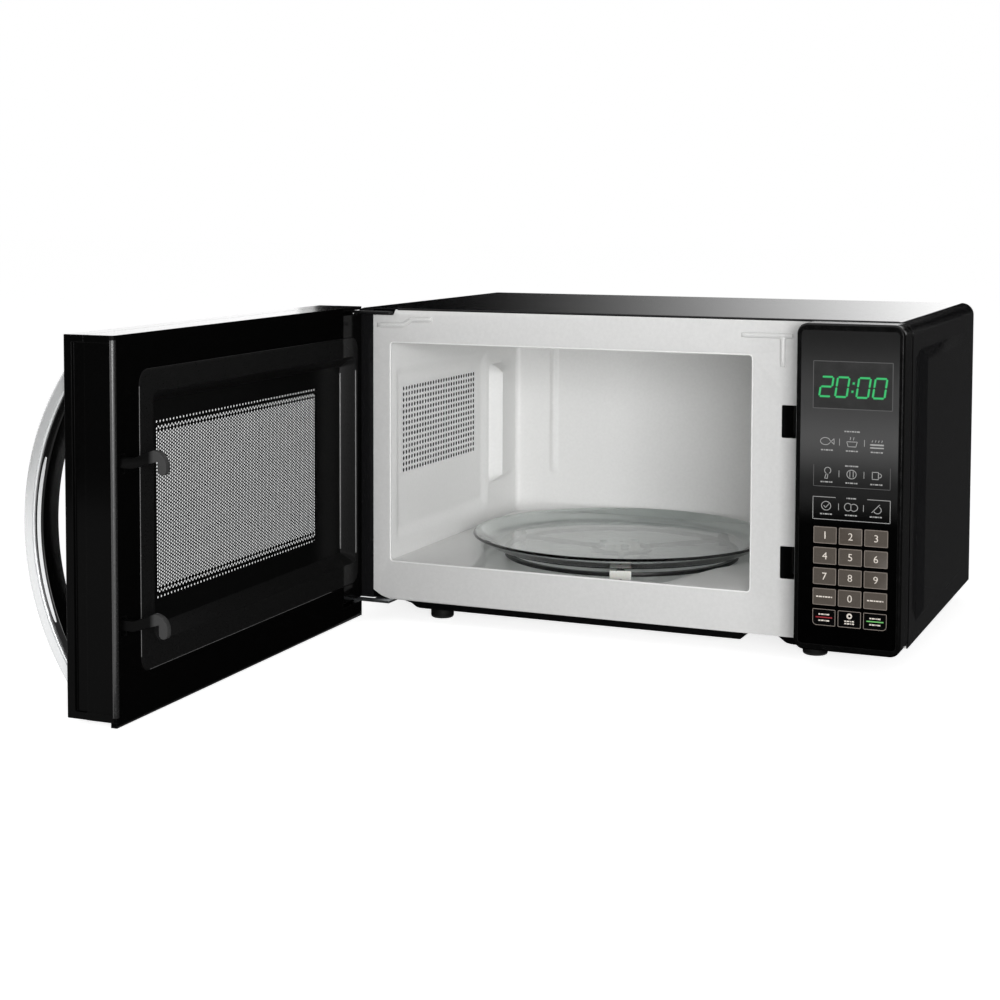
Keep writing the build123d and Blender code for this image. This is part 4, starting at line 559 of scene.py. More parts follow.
# Grained black plastic for hidden mouldings: flow lines and the tool's erosion grain.
works_plastic = new_material(
    "grained_black_moulding", {"IOR": 1.49}, grain_mm=0.7, colours=("#151515", "#1d1d1d"),
    roughness=(0.42, 0.58), height_mm=0.02,
)
dress(["waveguide", "magnetron", "turntable_motor", "oven_lamp"], zinc)
dress(["high_voltage_transformer", "fan_motor"], core_iron, 0.5)
dress(["high_voltage_capacitor"], drawn_can, 0.5)
dress(["control_board", "noise_filter"], board)
dress(["waveguide_cover"], mica, 0.2)
dress(["thermal_cutout"], nylon, 0.2)
dress(["latch_bracket", "door_switches", "fan_shroud", "fan_blade"], works_plastic, 0.25)

# Turntable drive and roller ring: a moulded three-lobed coupler on the motor's stub, and a black
# ring that carries three black rollers in white clips between the dish and the tray.
dress(["drive_coupler", "roller_carriers"], nylon, 0.4)
# Polypropylene ring: black, a little waxy, with the mould's soft grain.
ring_plastic = new_material(
    "moulded_black_ring_plastic", {"IOR": 1.49}, grain_mm=1.0, colours=("#0e0e0e", "#151515"),
    roughness=(0.35, 0.45), height_mm=0.012,
)
dress(["roller_ring", "roller_1", "roller_2", "roller_3"], ring_plastic, 0.4)

# Glass tray: clear soda-lime glass pressed in one piece, with a flat floor, a rim that sweeps up
# to a fire-polished edge, and three lugs below that the coupler turns.
TRAY_LEVEL = 47.9
TRAY_T = 4.0
TRAY_CENTRE_R = 0.4
TRAY_RING_R = 50.0
TRAY_FLAT_R = 103.0
TRAY_R = 127.5
TRAY_RISE = 8.6
RIM_T = 2.6
RIM_WAVE = 0.75 * math.pi
LUG_RING_R = 16.0
LUG_R = 3.3
LUG_H = 4.0
LUG_EDGE = 0.8
LUG_SINK = 0.1


def lathe(profile, centre, count):
    """A line of radii and heights turned about a vertical axis: each point becomes a circle."""
    ring = arc(0, 360, count + 1)[:-1]
    radius, height = profile[:, :1], profile[:, 1:]
    points = joined(centre[0] + radius * ring[:, 0], centre[1] + radius * ring[:, 1], height)
    return grid(points[:, ::-1], wrap_columns=True)


# The floor's top sweeps up to the rim as part of a cosine wave; the underside follows it and
# closes in from the floor's thickness to the rim's, and a half circle joins them at the edge.
tray_top = TRAY_LEVEL + TRAY_T
rim = np.linspace(0, 1, 16)
rim_r = TRAY_FLAT_R + rim * (TRAY_R - RIM_T / 2 - TRAY_FLAT_R)
rim_lift = TRAY_RISE * (1 - np.cos(rim * RIM_WAVE)) / (1 - math.cos(RIM_WAVE))
rim_under = joined(rim_r, TRAY_LEVEL + rim_lift * (TRAY_RISE + TRAY_T - RIM_T) / TRAY_RISE)
rim_top = joined(rim_r, tray_top + rim_lift)
edge = (rim_under[-1] + rim_top[-1]) / 2 + RIM_T / 2 * arc(-90, 90, 8)[1:-1]
tray_profile = np.concatenate((
    [(TRAY_CENTRE_R, TRAY_LEVEL), (TRAY_RING_R, TRAY_LEVEL)], rim_under, edge, rim_top[::-1],
    [(TRAY_RING_R, tray_top), (TRAY_CENTRE_R, tray_top), (TRAY_CENTRE_R, TRAY_LEVEL)],
))
lug_low, lug_top = TRAY_LEVEL - LUG_H, TRAY_LEVEL + LUG_SINK
lug_profile = np.array([(LUG_SINK, lug_low), (LUG_R - LUG_EDGE, lug_low),
                        (LUG_R, lug_low + LUG_EDGE), (LUG_R, lug_top), (LUG_SINK, lug_top)])
# Pressed glass: clear, a faint grey-green in its depth, with slight waves left by the mould.
tray_glass = new_material(
    "pressed_soda_lime_glass", {"IOR": 1.52, "Transmission Weight": 1.0}, grain_mm=18.0,
    colours=("#dde3e1", "#e3e9e7"), roughness=(0.0, 0.03), height_mm=0.05, detail=1.0,
)
lugs = [lathe(lug_profile, centre, 24) for centre in TURN + LUG_RING_R * arc(60, 300, 3)]
tray = make_piece("pressed_glass_tray", [lathe(tray_profile, TURN, 160), *lugs],
                  tray_glass, "tray")
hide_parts("glass_tray")

# Outer cabinet: one black-painted steel sheet bent over the top and both sides, screwed to the
# vented rear panel; a moulded bush in that panel takes the mains cord.
HEM_X = (-188.0, 227.0)
HEM_Z = (18.0, 256.5)
HEM_BEND_R = 10.0
HEM_T = 1.6
HEM_Y = (-141.4, -138.5)


def capped(points):
    """A tube: rings of points in rows, joined along their length and closed by flat ends."""
    ends = np.arange(points.shape[1])
    return [grid(points, wrap_columns=True), (points[0], ends[None, :]),
            (points[-1], ends[None, ::-1])]


# Sprayed black paint: glossy, with an orange peel that breaks up long reflections.
# Its edges are lightened a little: partly wear, partly a painted highlight.
black_paint = new_material(
    "sprayed_black_paint", {"IOR": 1.5}, grain_mm=2.2, colours=("#131314", "#171718"),
    roughness=(0.09, 0.13), height_mm=0.001, wear_and_highlight=("#1d1d1e", 1.0),
)
dress(["outer_cabinet"], black_paint)

# The sheet's front edge is folded back on itself: a U with a round nose, carried along the top,
# round the right-hand bend and down the side.
nose = arc(0, 180, 9) * HEM_T / 2
hem_in = np.concatenate(([0.0], HEM_T / 2 - nose[:, 0], [HEM_T]))
hem_y = np.concatenate((HEM_Y[1:], HEM_Y[0] - nose[:, 1], HEM_Y[1:]))
hem_out = np.concatenate(([(0.0, 1.0)] * 2, arc(90, 0, 9), [(1.0, 0.0)] * 2))
hem_line = HEM_BEND_R * hem_out + (HEM_X[1] - HEM_BEND_R, HEM_Z[1] - HEM_BEND_R)
hem_line[0, 0], hem_line[-1, 1] = HEM_X[0], HEM_Z[0]
hem_flat = hem_line[:, None] - hem_out[:, None] * hem_in[:, None]
hem = joined(hem_flat[..., 0], hem_y, hem_flat[..., 1])[:, ::-1]
make_piece("folded_front_hem", capped(hem), coated_steel, "cabinet")
dress(["rear_panel"], coated_steel)
dress(["cabinet_screws"], zinc, 0.2)
dress(["cord_gland"], works_plastic, 0.4)

# Control housing: a glossy black ABS moulding that clips to the front plate beside the door's
# opening and carries the board, overlay, display and keys.

# Polished ABS: nearly a mirror, black, with a trace of flow marks.
# Its edges are lightened a little: partly wear, partly a painted highlight.
gloss_abs = new_material(
    "polished_black_abs", {"IOR": 1.53, "Specular IOR Level": 0.3}, grain_mm=4.0,
    colours=("#060606", "#090909"), roughness=(0.14, 0.2), height_mm=0.002, wear_and_highlight=("#1c1c1c", 0.8),
)
dress(["control_housing"], gloss_abs, 0.7, 3)

# Keypad overlay and display: a gloss polyester film printed from behind in black, with a grey
# fade up its face that is a painted reflection, frames and signs, stuck into the housing, and a
# smoked window over green clock digits.
PAINTED_REFLECTION_FADE = ((0.0, "#010101"), (0.38, "#020202"), (0.5, "#212121"), (0.66, "#4a4a4a"),
        (0.78, "#3d3d3d"), (1.0, "#202020"))
FILM_WAVE = 6.0
FILM_ROUGHNESS = (0.14, 0.22)
INK_LIFT = 0.04
INK_T = 0.03
STROKE_STEP = 0.8
LEAST_R = 0.05
FRAME_W = 0.48
FRAME_CORNER_R = 0.6
DISPLAY_X = (161.5, 218.5)
DISPLAY_Z = (194.1, 228.1)
SIGN_X = (171.8, 190.0, 208.0)
SIGN_W = 0.55
SIGN_ROWS = (169.6, 146.4, 122.2)
LABEL_ROWS = (163.4, 140.0, 116.4)
LABEL = (1.5, 1.0, 2.2, 0.8, 1.4)
HEADER_ROWS = (177.6, 152.4, 128.8)
HEADER = (1.2, 2.0, 0.9, 1.6, 1.1, 2.1)
HEADER_GAP = 11.5
DASH_H = 0.95
DASH_GAP = 0.45
BAR_H = 5.0
BAR_W = 0.45
GRILL_X = (203.0, 213.0)
GRILL_BARS = ((168.8, 1.1), (166.6, 0.9))
UPPER_FRAME = ((162.3, 217.9), (136.7, 152.4))
LOWER_FRAME = ((162.1, 218.2), (112.4, 128.8))
DIGIT_X = (165.6, 177.2, 192.6, 204.4)
DIGIT_W = 8.4
DIGIT_Z = (202.6, 216.9)
DIGIT_SLANT = 0.14
DIGIT_TRIM = 0.35
DIGITS = ("abged", "abcdef", "abcdef", "abcdef")
DIGIT_BARS = {"a": ((0, 1), (1, 1)), "b": ((1, 1), (1, 0.5)), "c": ((1, 0.5), (1, 0)),
              "d": ((0, 0), (1, 0)), "e": ((0, 0.5), (0, 0)), "f": ((0, 1), (0, 0.5)),
              "g": ((0, 0.5), (1, 0.5))}
COLON_X = 189.2
COLON_REACH = 3.0
DOT_SHARE = 0.55
GLOW_W = 2.3
CORE_W = 1.3


def ink(name, colours):
    """Ink for print and painted highlights: flat, a hair thick, with a slightly uneven edge to its
    gloss.
    """
    return new_material(name, {"IOR": 1.48}, grain_mm=0.5, colours=colours,
                        roughness=(0.5, 0.6), height_mm=0.003)


def phosphor(name, light, colours):
    """Phosphor behind the window, which gives off light of its own colour."""
    sockets = {"IOR": 1.5, "Emission Strength": 1.0, "Emission Color": linear(light)}
    return new_material(name, sockets, grain_mm=0.8, colours=colours, roughness=(0.5, 0.6),
                        height_mm=0.001)


def printed(name, flats, front_y, material, body):
    """A thin layer of ink on a face towards the front: flat patches of width and height, turned
    so that every face looks out, and given the ink's thickness."""
    patches = []
    for flat, faces in flats:
        a, b, c = (flat[faces[:, place]] for place in range(3))
        turned = (b - a)[:, 0] * (c - a)[:, 1] < (b - a)[:, 1] * (c - a)[:, 0]
        faces = np.where(turned[:, None], faces[:, ::-1], faces)
        patches.append((joined(flat[:, 0], front_y - INK_LIFT, flat[:, 1]), faces))
    thicken(make_piece(name, patches, material, body), INK_T)


def ribbon(stops, width):
    """A line of one width: two edges carried along the path, half a width to either side."""
    line, normal, _ = along(stops, STROKE_STEP)
    return grid(np.stack((line + normal * width / 2, line - normal * width / 2), axis=1))


def frame_line(u_range, v_range, width, radius):
    """The outline of a rounded rectangle, drawn inwards from its edge with one width."""
    outer = rounded_rectangle(u_range, v_range, radius)
    inner = rounded_rectangle(shrunk(u_range, width), shrunk(v_range, width),
                              np.maximum(np.array(radius) - width, LEAST_R))
    return grid(np.stack((outer, inner)), wrap_columns=True)


def arc_line(centre, radii, start=0, end=360):
    """Stops along an ellipse, or part of one from a start to an end in degrees."""
    return arc(start, end, 25) * radii + centre


def dashes(centre, lengths):
    """A broken bar that stands where a label would: blocks of the given lengths with gaps."""
    lengths = np.array(lengths)[:, None]
    ends = np.cumsum(lengths + DASH_GAP)[:, None] - DASH_GAP
    block = np.array([(0, -0.5), (1, -0.5), (1, 0.5), (0, 0.5)])
    u = centre[0] - ends[-1] / 2 + ends - lengths + block[:, 0] * lengths
    flat = joined(u, centre[1] + block[:, 1] * DASH_H)
    return flat.reshape(-1, 2), np.arange(4 * len(lengths)).reshape(-1, 4)


def clock_figures(width):
    """The display's figures and colon, drawn with bars of one width: hexagons with pointed ends
    along the seven sides of a figure eight, and squares, all sheared to lean."""
    flats = []
    for left, digit in zip(DIGIT_X, DIGITS):
        for bar in digit:
            start, end = np.array(DIGIT_BARS[bar]) * (DIGIT_W, DIGIT_Z[1] - DIGIT_Z[0])
            heading = (end - start) / np.linalg.norm(end - start)
            side = np.array((-heading[1], heading[0])) * width / 2
            point, trim = heading * width / 2, heading * DIGIT_TRIM
            hexagon = np.array((start + trim, start + point + side, end - point + side,
                                end - trim, end - point - side, start + point - side))
            flats.append((hexagon + (left, DIGIT_Z[0]), np.array(((0, 1, 2, 3), (0, 3, 4, 5)))))
    for rise in (-COLON_REACH, COLON_REACH):
        dot = np.array([(-1, -1), (1, -1), (1, 1), (-1, 1)]) * width * DOT_SHARE
        flats.append((dot + (COLON_X, sum(DIGIT_Z) / 2 + rise), np.array(((0, 1, 2, 3),))))
    return [(joined(flat[:, 0] + (flat[:, 1] - DIGIT_Z[0]) * DIGIT_SLANT, flat[:, 1]), faces)
            for flat, faces in flats]


# Gloss polyester film: a clear skin over flat black print, so that its colour lies a little deep.
# Its colour fades from black low down to grey higher up: a painted reflection.
overlay_low, overlay_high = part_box("keypad_overlay")
film, tree, shader = plain_material("gloss_film_painted_reflection",
                                    {"IOR": 1.57, "Specular IOR Level": 0.12})
place = add_node(tree, "TexCoord").outputs["Object"]
height = add_node(tree, "SeparateXYZ", links={"Vector": place}).outputs["Z"]
tall = add_node(tree, "MapRange", {"From Min": overlay_low.z, "From Max": overlay_high.z},
                {"Value": height})
reflection_fade = add_node(tree, "ValToRGB", links={"Fac": tall.outputs["Result"]})
reflection_fade.color_ramp.interpolation = "EASE"
for stop, (where, colour) in enumerate(PAINTED_REFLECTION_FADE):
    if stop > 1:
        reflection_fade.color_ramp.elements.new(where)
    reflection_fade.color_ramp.elements[stop].position = where
    reflection_fade.color_ramp.elements[stop].color = linear(colour)
tree.links.new(reflection_fade.outputs["Color"], shader.inputs["Base Color"])
skin = add_node(tree, "TexNoise", {"Scale": 1 / (FILM_WAVE * MM), "Detail": 2.0}, {"Vector": place})
gloss = add_node(tree, "MapRange", {"To Min": FILM_ROUGHNESS[0], "To Max": FILM_ROUGHNESS[1]},
                 {"Value": skin.outputs["Fac"]})
tree.links.new(gloss.outputs["Result"], shader.inputs["Roughness"])
dress(["keypad_overlay"], film)

# Smoked acrylic: an even dark grey without the film's painted reflection, with a harder shine.
display_glass = new_material(
    "smoked_polished_acrylic", {"IOR": 1.49, "Specular IOR Level": 0.2}, grain_mm=8.0,
    colours=("#2f2f2f", "#353535"), roughness=(0.08, 0.12), height_mm=0.001,
)
dress(["display_window"], display_glass)

strokes = [
    # A fish: a body and a tail.
    arc_line((170.6, 169.8), (3.6, 2.6), 30, 330),
    ((173.6, 171.0), (177.0, 167.6), (177.0, 172.0), (173.6, 168.6)),
    # A pot with two curls of steam.
    ((186.2, 170.2), (187.2, 166.6), (192.8, 166.6), (193.8, 170.2), (186.2, 170.2)),
    ((188.6, 171.4), (189.0, 173.6)), ((191.0, 171.4), (191.4, 173.6)),
    # A grill's four short bars.
    *[((204.4 + 2.3 * bar, 170.6), (205.0 + 2.3 * bar, 172.2)) for bar in range(4)],
    # A drumstick: a round end and a bone.
    arc_line((172.6, 148.4), (2.3, 2.3), -60, 240),
    ((171.6, 146.2), (170.4, 142.6), (172.4, 142.6), (172.8, 146.0)),
    # A loaf: a round outline and two cuts.
    arc_line((190.0, 146.4), (3.4, 3.2)),
    ((188.8, 144.2), (188.8, 148.8)), ((191.2, 144.2), (191.2, 148.8)),
    # A mug: a square body and a handle.
    ((205.0, 149.0), (205.0, 143.8), (209.4, 143.8), (209.4, 149.0), (205.0, 149.0)),
    arc_line((209.6, 146.6), (2.0, 1.6), -80, 80),
    # A plate with a tick.
    arc_line((171.8, 122.4), (3.4, 3.2)), ((170.0, 122.6), (171.4, 121.0), (174.0, 124.2)),
    # Two beans side by side.
    arc_line((187.8, 122.4), (2.6, 2.8), 40, 320),
    arc_line((192.0, 122.2), (2.8, 2.6), -140, 140), ((189.9, 120.6), (189.9, 124.4)),
    # A leaf on its stalk.
    ((204.8, 119.4), (210.8, 125.6)), arc_line((209.0, 121.6), (2.8, 2.6), -170, 60),
]
signs = [ribbon(stroke, SIGN_W) for stroke in strokes]
signs += [ribbon(joined(GRILL_X, z), width) for z, width in GRILL_BARS]
for row, (sign_z, label_z, header_z) in enumerate(zip(SIGN_ROWS, LABEL_ROWS, HEADER_ROWS)):
    signs += [ribbon(joined(x, about(sign_z, BAR_H / 2)), BAR_W)
              for x in (np.array(SIGN_X[:-1]) + SIGN_X[1:]) / 2]
    signs += [dashes((x, label_z), LABEL) for x in SIGN_X]
    signs.append(dashes((SIGN_X[1], header_z), HEADER[row:]))
(x0, x1), (z0, z1) = LOWER_FRAME
middle_x = (x0 + x1) / 2
signs.append(ribbon(((middle_x + HEADER_GAP, z1), (x1, z1), (x1, z0), (x0, z0), (x0, z1),
                     (middle_x - HEADER_GAP, z1)), FRAME_W))
film_y = overlay_low.y / MM
# Screen-printed ink: flat pale grey, and for the frames the same with more black in it.
pale_ink = ink("screen_printed_pale_ink", ("#969695", "#a0a09f"))
grey_ink = ink("screen_printed_grey_ink", ("#4c4c4c", "#545454"))
printed("menu_signs", signs, film_y, pale_ink, "cabinet")
(x0, x1), (z0, z1) = UPPER_FRAME
lines = [
    frame_line(shrunk(DISPLAY_X, -FRAME_W), shrunk(DISPLAY_Z, -FRAME_W), FRAME_W, FRAME_CORNER_R),
    ribbon(((x0, z1), (x0, z0), (x1, z0), (x1, z1)), FRAME_W),
]
printed("panel_frames", lines, film_y, grey_ink, "cabinet")

# Glowing phosphor: green light of its own, and a darker spill of it round each bar.
glow = phosphor("green_phosphor_spill", "#083a1e", ("#02140a", "#03180c"))
core = phosphor("green_phosphor_bars", "#2bb867", ("#0a3018", "#0c381c"))
window_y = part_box("display_window")[0].y / MM
printed("clock_glow", clock_figures(GLOW_W), window_y, glow, "cabinet")
printed("clock_bars", clock_figures(CORE_W), window_y - INK_LIFT, core, "cabinet")

# Keys: moulded caps that stand half a millimetre out of the overlay, twelve warm grey and three
# black, each with a pale outline, a painted highlight along its edge, and a printed figure or bar.
KEY_X = (171.4, 190.0, 208.6)
KEY_Z = (100.8, 85.6, 70.4, 55.2, 40.0)
KEY_HIGHLIGHT_HALF = (8.4, 6.1)
KEY_HIGHLIGHT_W = 0.42
KEY_CORNER_R = 0.7
KEY_ROUND_R = 3.0
KEY_ROUNDED = {"stop": 2, "start": 3}
FIGURE_H = 5.3
UNDERLINE_W = 0.85
UNDERLINE_REACH = 6.2
DIAL_RISE = 2.4
DIAL_R = (1.5, 1.5)
DIAL_W = 1.2
CLOCK_DASHES = (1.3, 1.9, 0.9, 1.5)
CLOCK_DROPS = (1.4, 3.2)
BAR_DASHES = (1.4, 2.0, 1.0, 2.2)
BAR_RISES = (2.2, -2.4)
PLAIN_DASHES = (1.6, 2.4, 1.2, 1.9, 1.5, 1.0)
KEY_ROWS = (("1", "2", "3"), ("4", "5", "6"), ("7", "8", "9"), ("power", "0", "preset"),
            ("stop", "clock", "start"))


def figure(text, height):
    """A number in the plain built-in letter shapes, as flat triangles about its middle."""
    letters = bpy.data.curves.new("figure", "FONT")
    letters.body = text
    holder = bpy.data.objects.new("figure", letters)
    mesh = bpy.data.meshes.new_from_object(holder)
    mesh.calc_loop_triangles()
    flat = np.empty(len(mesh.vertices) * 3)
    mesh.vertices.foreach_get("co", flat)
    faces = np.empty(len(mesh.loop_triangles) * 3, np.int32)
    mesh.loop_triangles.foreach_get("vertices", faces)
    flat = flat.reshape(-1, 3)[:, :2]
    low, high = flat.min(axis=0), flat.max(axis=0)
    bpy.data.objects.remove(holder)
    bpy.data.curves.remove(letters)
    bpy.data.meshes.remove(mesh)
    return (flat - (low + high) / 2) * height / (high[1] - low[1]), faces.reshape(-1, 3)


# Satin moulded plastic: warm grey, with a fine even grain that dulls the shine.
key_plastic = new_material(
    "satin_grey_key_plastic", {"IOR": 1.5, "Specular IOR Level": 0.3}, grain_mm=0.6,
    colours=("#474039", "#4f4841"), roughness=(0.42, 0.5), height_mm=0.005,
)
# Gloss black plastic: the three lower keys, as smooth as the film beside them.
black_key_plastic = new_material(
    "gloss_black_key_plastic", {"IOR": 1.5, "Specular IOR Level": 0.2}, grain_mm=0.8,
    colours=("#050505", "#080808"), roughness=(0.16, 0.22), height_mm=0.002,
)
# Inks on the keys: a pale warm line round each, a painted edge highlight, cream figures, and one
# red and one green bar.
key_edge_highlight_ink = ink("key_edge_painted_highlight_ink", ("#7a7169", "#827971"))
cream_ink = ink("pad_printed_cream_ink", ("#d4ccc2", "#ddd5cb"))
red_ink = ink("pad_printed_red_ink", ("#8c1420", "#981a26"))
green_ink = ink("pad_printed_green_ink", ("#5faf5a", "#6bbb64"))
for key_z, row in zip(KEY_Z, KEY_ROWS):
    for key_x, sign in zip(KEY_X, row):
        node, cap = "key_" + sign, "key_" + sign + "_cap"
        dark = row is KEY_ROWS[-1]
        dress([node], black_key_plastic if dark else key_plastic, 0.2)
        key_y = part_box(node)[0].y / MM
        corners = np.full(4, KEY_CORNER_R)
        if sign in KEY_ROUNDED:
            corners[KEY_ROUNDED[sign]] = KEY_ROUND_R
        # The pale outline round the key: a painted highlight along its edge.
        edge = frame_line(about(key_x, KEY_HIGHLIGHT_HALF[0]), about(key_z, KEY_HIGHLIGHT_HALF[1]),
                          KEY_HIGHLIGHT_W, corners)
        printed(node + "_line", [edge], key_y, key_edge_highlight_ink, cap)
        if sign.isdigit():
            flat, faces = figure(sign, FIGURE_H)
            signs = [(flat + (key_x, key_z), faces)]
        elif sign == "clock":
            signs = [ribbon(arc_line((key_x, key_z + DIAL_RISE), DIAL_R), DIAL_W)]
            signs += [dashes((key_x, key_z - drop), CLOCK_DASHES) for drop in CLOCK_DROPS]
        elif dark:
            signs = [dashes((key_x, key_z + rise), BAR_DASHES) for rise in BAR_RISES]
            bar = ribbon(joined(about(key_x, UNDERLINE_REACH), key_z), UNDERLINE_W)
            bar_ink = red_ink if sign == "stop" else green_ink
            printed(node + "_bar", [bar], key_y, bar_ink, cap)
        else:
            signs = [dashes((key_x, key_z), PLAIN_DASHES)]
        printed(node + "_sign", signs, key_y, cream_ink, cap)

# Door frame and front: two glossy black ABS mouldings screwed face to face, the inner one deep
# with a rebated free edge, the outer one with the window's opening.
HINGE = (-223.5, -147.0)
OPEN_ANGLE = math.radians(88.7)
FREE_EDGE_A = 366.5
FREE_EDGE_N = -0.5
FREE_EDGE_R = 3.0
EDGE_BEAD_Z = (7.2, 254.3)
EDGE_BEAD_LIFT = 0.03
EDGE_BEAD_T = 0.4


def on_door(a, n, z):
    """A place on the open door: a along it from the hinge, n out through it and z up."""
    return joined(HINGE[0] + a * math.cos(OPEN_ANGLE) - n * math.sin(OPEN_ANGLE),
                  HINGE[1] - a * math.sin(OPEN_ANGLE) - n * math.cos(OPEN_ANGLE), z)


# Spark-eroded black ABS: the mould's fine grain swallows most of the light.
# Its edges are lightened a little: partly wear, partly a painted highlight.
door_abs = new_material(
    "grained_black_door_abs", {"IOR": 1.53, "Specular IOR Level": 0.03}, grain_mm=0.9,
    colours=("#040404", "#070707"), roughness=(0.1, 0.16), height_mm=0.002, wear_and_highlight=("#1a1a1a", 0.6),
)
dress(["door_frame", "door_front"], door_abs, 0.7, 3)

# The bead along the free edge is a quarter circle, a hair proud of the moulding in its middle,
# closed by a smaller quarter circle and carried up the door.
turn = np.radians(np.linspace(0, 90, 10))
bead_r = np.concatenate((FREE_EDGE_R + EDGE_BEAD_LIFT * np.sin(2 * turn),
                         0 * turn + FREE_EDGE_R - EDGE_BEAD_T))
bead_turn = np.concatenate((turn, turn[::-1]))
edge_bead = on_door(FREE_EDGE_A + bead_r * np.sin(bead_turn),
                    FREE_EDGE_N - bead_r * np.cos(bead_turn), np.array(EDGE_BEAD_Z)[:, None])
# Black ABS painted a lighter grey over the free edge's rounding: a painted highlight line.
free_edge_highlight_abs = new_material(
    "black_abs_painted_edge_highlight", {"IOR": 1.53}, grain_mm=1.2, colours=("#1c1c1c", "#222222"),
    roughness=(0.2, 0.28), height_mm=0.002,
)
make_piece("free_edge_painted_highlight", capped(edge_bead), free_edge_highlight_abs, "door")

# Door screen: thin steel sheet, punched all over its middle with small round holes in staggered
# rows that keep the microwaves in and let light through, and painted black.
SCREEN_A = (9.2, 343.0)
SCREEN_Z = (26.5, 237.0)
SCREEN_N = 7.2
SCREEN_T = 0.15
SCREEN_CORNER_R = 10.0
HOLE_PITCH = (2.24, 2.37)
HOLE_COLUMNS = 109
HOLE_ROWS = 52
HOLE_R = 0.88
HOLE_SIDES = 6
FIELD_CENTRE = (179.0, 133.6)


def strip_places(columns, rows):
    """Every pair of a column and a row, as places on the door in millimetres."""
    along_door, up = np.meshgrid(columns - (HOLE_COLUMNS - 1) / 2, rows - top / 2, indexing="ij")
    return FIELD_CENTRE + joined(along_door, up).reshape(-1, 2) * HOLE_PITCH


def two_sided(flat, faces):
    """A flat patch of the screen and, a thickness behind it, its copy that faces away."""
    sides = [on_door(flat[:, 0], n, flat[:, 1]) for n in (SCREEN_N, SCREEN_N + SCREEN_T)]
    return np.concatenate(sides), np.concatenate((faces, faces[:, ::-1] + len(flat)))


# Each column of holes is a strip of cells, counted in pitches from the lowest hole. Even strips
# hold a lone hole at each end and a field between; odd strips stand half a pitch off, their end
# holes set apart by a pitch. Plain cells close what is left between holes and at the ends.
top = HOLE_ROWS - 1
even_rows = np.concatenate(([0.0], np.arange(2.0, top - 1), [top]))
odd_rows = np.concatenate(([1.5], np.arange(3.5, top - 3), [top - 1.5]))
even_a, odd_a = np.arange(0, HOLE_COLUMNS, 2), np.arange(1, HOLE_COLUMNS, 2)
centres = np.concatenate((strip_places(even_a, even_rows), strip_places(odd_a, odd_rows)))
hole_flat, hole_faces = perforated(centres, HOLE_PITCH, HOLE_R, HOLE_SIDES)
hole_points, hole_faces = two_sided(hole_flat, hole_faces)
ring = (2 * np.arange(len(centres))[:, None] + 1) * HOLE_SIDES
here, after = ((ring + (np.arange(HOLE_SIDES) + ahead) % HOLE_SIDES).ravel() for ahead in (0, 1))
hole_walls = joined(here, after, after + len(hole_flat), here + len(hole_flat))
square = np.array([(-1, -1), (1, -1), (1, 1), (-1, 1)]) * np.array(HOLE_PITCH) / 2
plain_flat = np.concatenate([
    (strip_places(columns, np.array((row, top - row)))[:, None] + square * (1, tall)).reshape(-1, 2)
    for columns, row, tall in ((even_a, 1.0, 1.0), (odd_a, 0.25, 1.5), (odd_a, 2.5, 1.0))
])
plain_faces = np.arange(len(plain_flat)).reshape(-1, 4)
border = flat_sheet([rounded_rectangle(SCREEN_A, SCREEN_Z, SCREEN_CORNER_R),
                     square * (HOLE_COLUMNS, HOLE_ROWS) + FIELD_CENTRE])
# Dipped black paint on punched steel: dull, thickest at the holes' edges.
screen_paint = new_material(
    "black_painted_perforated_steel", {"IOR": 1.5, "Specular IOR Level": 0.1}, grain_mm=1.5,
    colours=("#060606", "#090909"), roughness=(0.45, 0.55), height_mm=0.005,
)
screen = make_piece(
    "punched_door_screen", [(hole_points, np.concatenate((hole_faces, hole_walls))),
                            two_sided(plain_flat, plain_faces), two_sided(*border)],
    screen_paint, "door",
)
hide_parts("door_screen")

# Choke cover: a thin satin black moulding clipped over the door's choke channel; its flat land
# meets the front plate, and a funnel leads down to the screen.
COVER_A = (4.0, 339.0)
COVER_Z = (30.5, 233.0)
COVER_CORNER_R = 10.0
COVER_TOP = -3.5
COVER_SIDE = 4.0
COVER_EDGE_R = 0.7
COVER_T = 1.6
FUNNEL_A = (8.0, 322.0)
FUNNEL_Z = (47.0, 217.5)
FUNNEL_IN = 8.5
FUNNEL_CORNER_R = 6.7
FUNNEL_LEAN = 54
FUNNEL_GAP = 0.2
EDGE_HIGHLIGHT_RODS = (
    ((COVER_A[1] - 0.3,) * 2, COVER_TOP + 0.35, shrunk(COVER_Z, 11.0), 0.5),
    ((COVER_A[0] + 50.0, COVER_A[1] - 11.0), COVER_TOP + 0.3, (COVER_Z[0] + 0.3,) * 2, 0.3),
    ((FUNNEL_A[0],) * 2, COVER_TOP + 0.25, (FUNNEL_Z[0] + 8.0, FUNNEL_Z[1] - 12.0), 0.6),
    ((FUNNEL_A[0] + FUNNEL_IN,) * 2, SCREEN_N - 0.5, (FUNNEL_Z[0] + 12.0, FUNNEL_Z[1] - 14.0), 0.6),
)


def cover_line(a_range, z_range, inset, corner_r, n):
    """One line of the cover: a rounded rectangle on the door, moved in by an inset, at a depth."""
    flat = rounded_rectangle(shrunk(a_range, inset), shrunk(z_range, inset),
                             corner_r - min(inset, corner_r - 1))
    return on_door(flat[:, 0], n, flat[:, 1])


